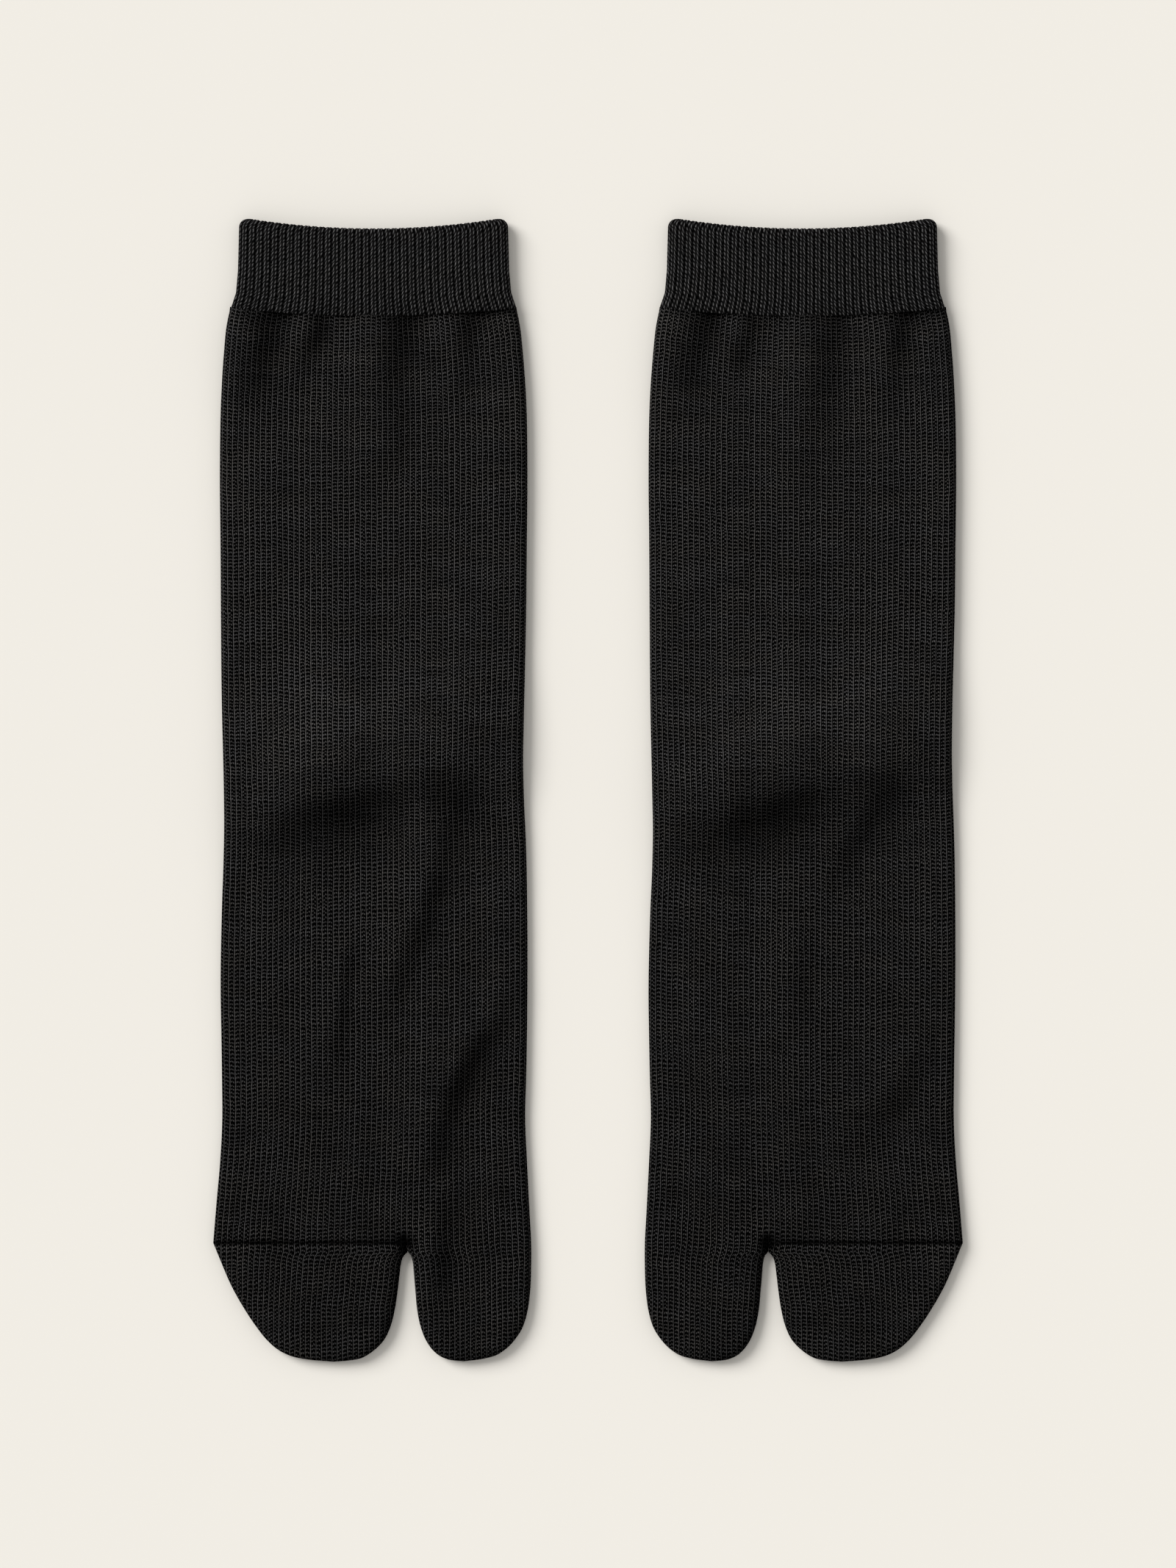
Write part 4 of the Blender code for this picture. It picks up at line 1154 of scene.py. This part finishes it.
def cuff_ring(rise, inset, overshoot=0.0):
    """One row of places round the cuff, inset from its outer face, starting under its left edge."""
    width = np.interp(rise, [row.rise for row in CUFF_WIDTHS], [row.half_width for row in CUFF_WIDTHS])
    into_corner = max(rise - (CUFF_LENGTH - CUFF_CORNER), 0.0)
    half_width = width - CUFF_CORNER + np.sqrt(max(CUFF_CORNER**2 - into_corner**2, 0.0))
    radius = CUFF_THICKNESS / 2
    flat = 2 * (half_width - radius)
    quarter = np.pi * radius
    rib = np.arange(CUFF_RIBS * RIB_POINTS + 1) / RIB_POINTS
    travelled = rib / CUFF_RIBS * 2 * (flat + quarter)
    heights = np.resize(RIB_HEIGHTS, len(rib))
    bead = RIB_BEAD * np.cos(2 * np.pi * rise / CUFF_COURSE)
    sunk = RIB_RISE * (1.0 - heights * (1.0 + bead)) * (1.0 - min(inset / CUFF_WALL, 1.0))
    reach = radius - inset - sunk
    turned = np.clip(travelled / radius, 0.0, np.pi)
    turned += np.clip((travelled - quarter - flat) / radius, 0.0, np.pi)
    along = np.clip(travelled - quarter, 0.0, flat) - np.clip(travelled - 2 * quarter - flat, 0.0, flat)
    x = along - flat / 2 - reach * np.sin(turned)
    z = radius - reach * np.cos(turned)
    sag = np.interp(rise, [0.0, CUFF_LENGTH], [CUFF_SEAM_SAG, CUFF_TOP_SAG])
    y = CUFF_SEAM + rise - sag * (1.0 - np.minimum(x / CUFF_SEAM_HALF_WIDTH, 1.0) ** 2) + overshoot * heights
    return np.stack([x, y, z], axis=-1), rib


# Single rib seen from its face: each rib shows two lines of strands that slant the same way, the right one a
# little duller, and the valley between two ribs shows a few deep strands over the dim ground.
RIB_LEFT_STRANDS = Strands(0.28, 0.12, 3.4, 0.0, 1.1)
RIB_RIGHT_STRANDS = Strands(0.73, 0.115, 2.0, 0.4, 1.0)
RIB_DEEP_STRANDS = Strands(0.02, 0.1, 1.0, 0.5, 1.2)
RIB_RIGHT_SHADE = 0.86
RIB_DEEP_SHADE = 0.2
RIB_GROUND_SHADE = 0.08
RIB_GROUND_HALF_WIDTH = 0.36
RIB_GRAIN_SCALE = 2.3
RIB_GRAIN_SHARE = 0.36
RIB_MOTTLE_BASE = 0.32
RIB_YARN = ((0.173, 0.1704, 0.171), (0.177, 0.1714, 0.1676))


def make_rib_knit():
    """The height of the strands, and how mottled the cloth is, over the stitches of the rib."""
    knit = start_knit("rib_knit", wander_scale=0.7, stray_across=0.12, stray_along=0.9)
    group = knit.group
    left, right, deep = (
        strand_line(group, knit, knit.course, line)
        for line in (RIB_LEFT_STRANDS, RIB_RIGHT_STRANDS, RIB_DEEP_STRANDS)
    )
    ground = maths(group, "MULTIPLY", hump(group, knit.wale, 0.5, RIB_GROUND_HALF_WIDTH), RIB_GROUND_SHADE)
    ground = maths(group, "MULTIPLY_ADD", deep, RIB_DEEP_SHADE, ground)
    strands = maths(group, "MAXIMUM", left, maths(group, "MULTIPLY", right, RIB_RIGHT_SHADE))
    group.links.new(maths(group, "MAXIMUM", strands, ground), knit.result.inputs["Strands"])
    grain = soft_noise(group, knit.place, RIB_GRAIN_SCALE, detail=3.0, roughness=GRAIN_ROUGHNESS)
    mottle = maths(group, "MULTIPLY_ADD", grain, RIB_GRAIN_SHARE, RIB_MOTTLE_BASE)
    group.links.new(mottle, knit.result.inputs["Mottle"])
    return group


RIB_KNIT_CLOTH = knit_material("ribbed_black_knit", make_rib_knit(), strand_height=0.4, yarn=RIB_YARN)


def make_cuff(sock):
    """The cuff's rows go up its outer face, over its rim, down its inner face and under it to the start."""
    bm = start_piece()
    outer_rows = 2 * round(CUFF_LENGTH / CUFF_COURSE)
    rim_foot = CUFF_LENGTH - RIM_HEIGHT
    rows = [(rise, 0.0, 0.0) for rise in np.linspace(CUFF_START, rim_foot, outer_rows)]
    for turn in np.linspace(0.0, np.pi, RIM_STEPS)[1:-1]:
        inset = CUFF_WALL / 2 * (1.0 - np.cos(turn))
        rows.append((rim_foot + RIM_RISE * np.sin(turn), inset, RIM_SCALLOP * np.sin(turn)))
    rows += [(rise, CUFF_WALL, 0.0) for rise in np.linspace(rim_foot, CUFF_START, CUFF_INNER_ROWS)]
    rows += [(CUFF_UNDERSIDE, CUFF_WALL * share, 0.0) for share in CUFF_UNDERSIDE_PLACES]
    rows.append(rows[0])
    rings = [cuff_ring(*row) for row in rows]
    points = np.stack([ring for ring, _ in rings])
    down = np.array([(CUFF_LENGTH - rise) / CUFF_COURSE for rise, _, _ in rows])
    # Painted shade and painted light from the creases, on the cuff's upper face only.
    painted_cuff_shade = crease_shade(sock.side * points[..., 0], points[..., 1], sock.creases)
    painted_cuff_shade *= points[..., 2] > CUFF_THICKNESS / 2
    add_face(bm, points, rings[0][1], down[:, None], False, painted_cuff_shade)
    return finish_piece(bm, sock, "ribbed_cuff", CUFF_RIBS, RIB_KNIT_CLOTH)


# ------------------------------------------------------------------------------
# The pair. Each sock's pieces are made, and each stands for its solid and rides with the pair.
# ------------------------------------------------------------------------------
for each in SOCKS:
    heel = make_heel(each)
    declare(heel, f"{each.name}_heel")
    leg = make_leg_and_foot(each)
    declare(leg, f"{each.name}_body")
    declare(make_toe_cap(each), f"{each.name}_toe_cap")
    declare(make_cuff(each), f"{each.name}_cuff")
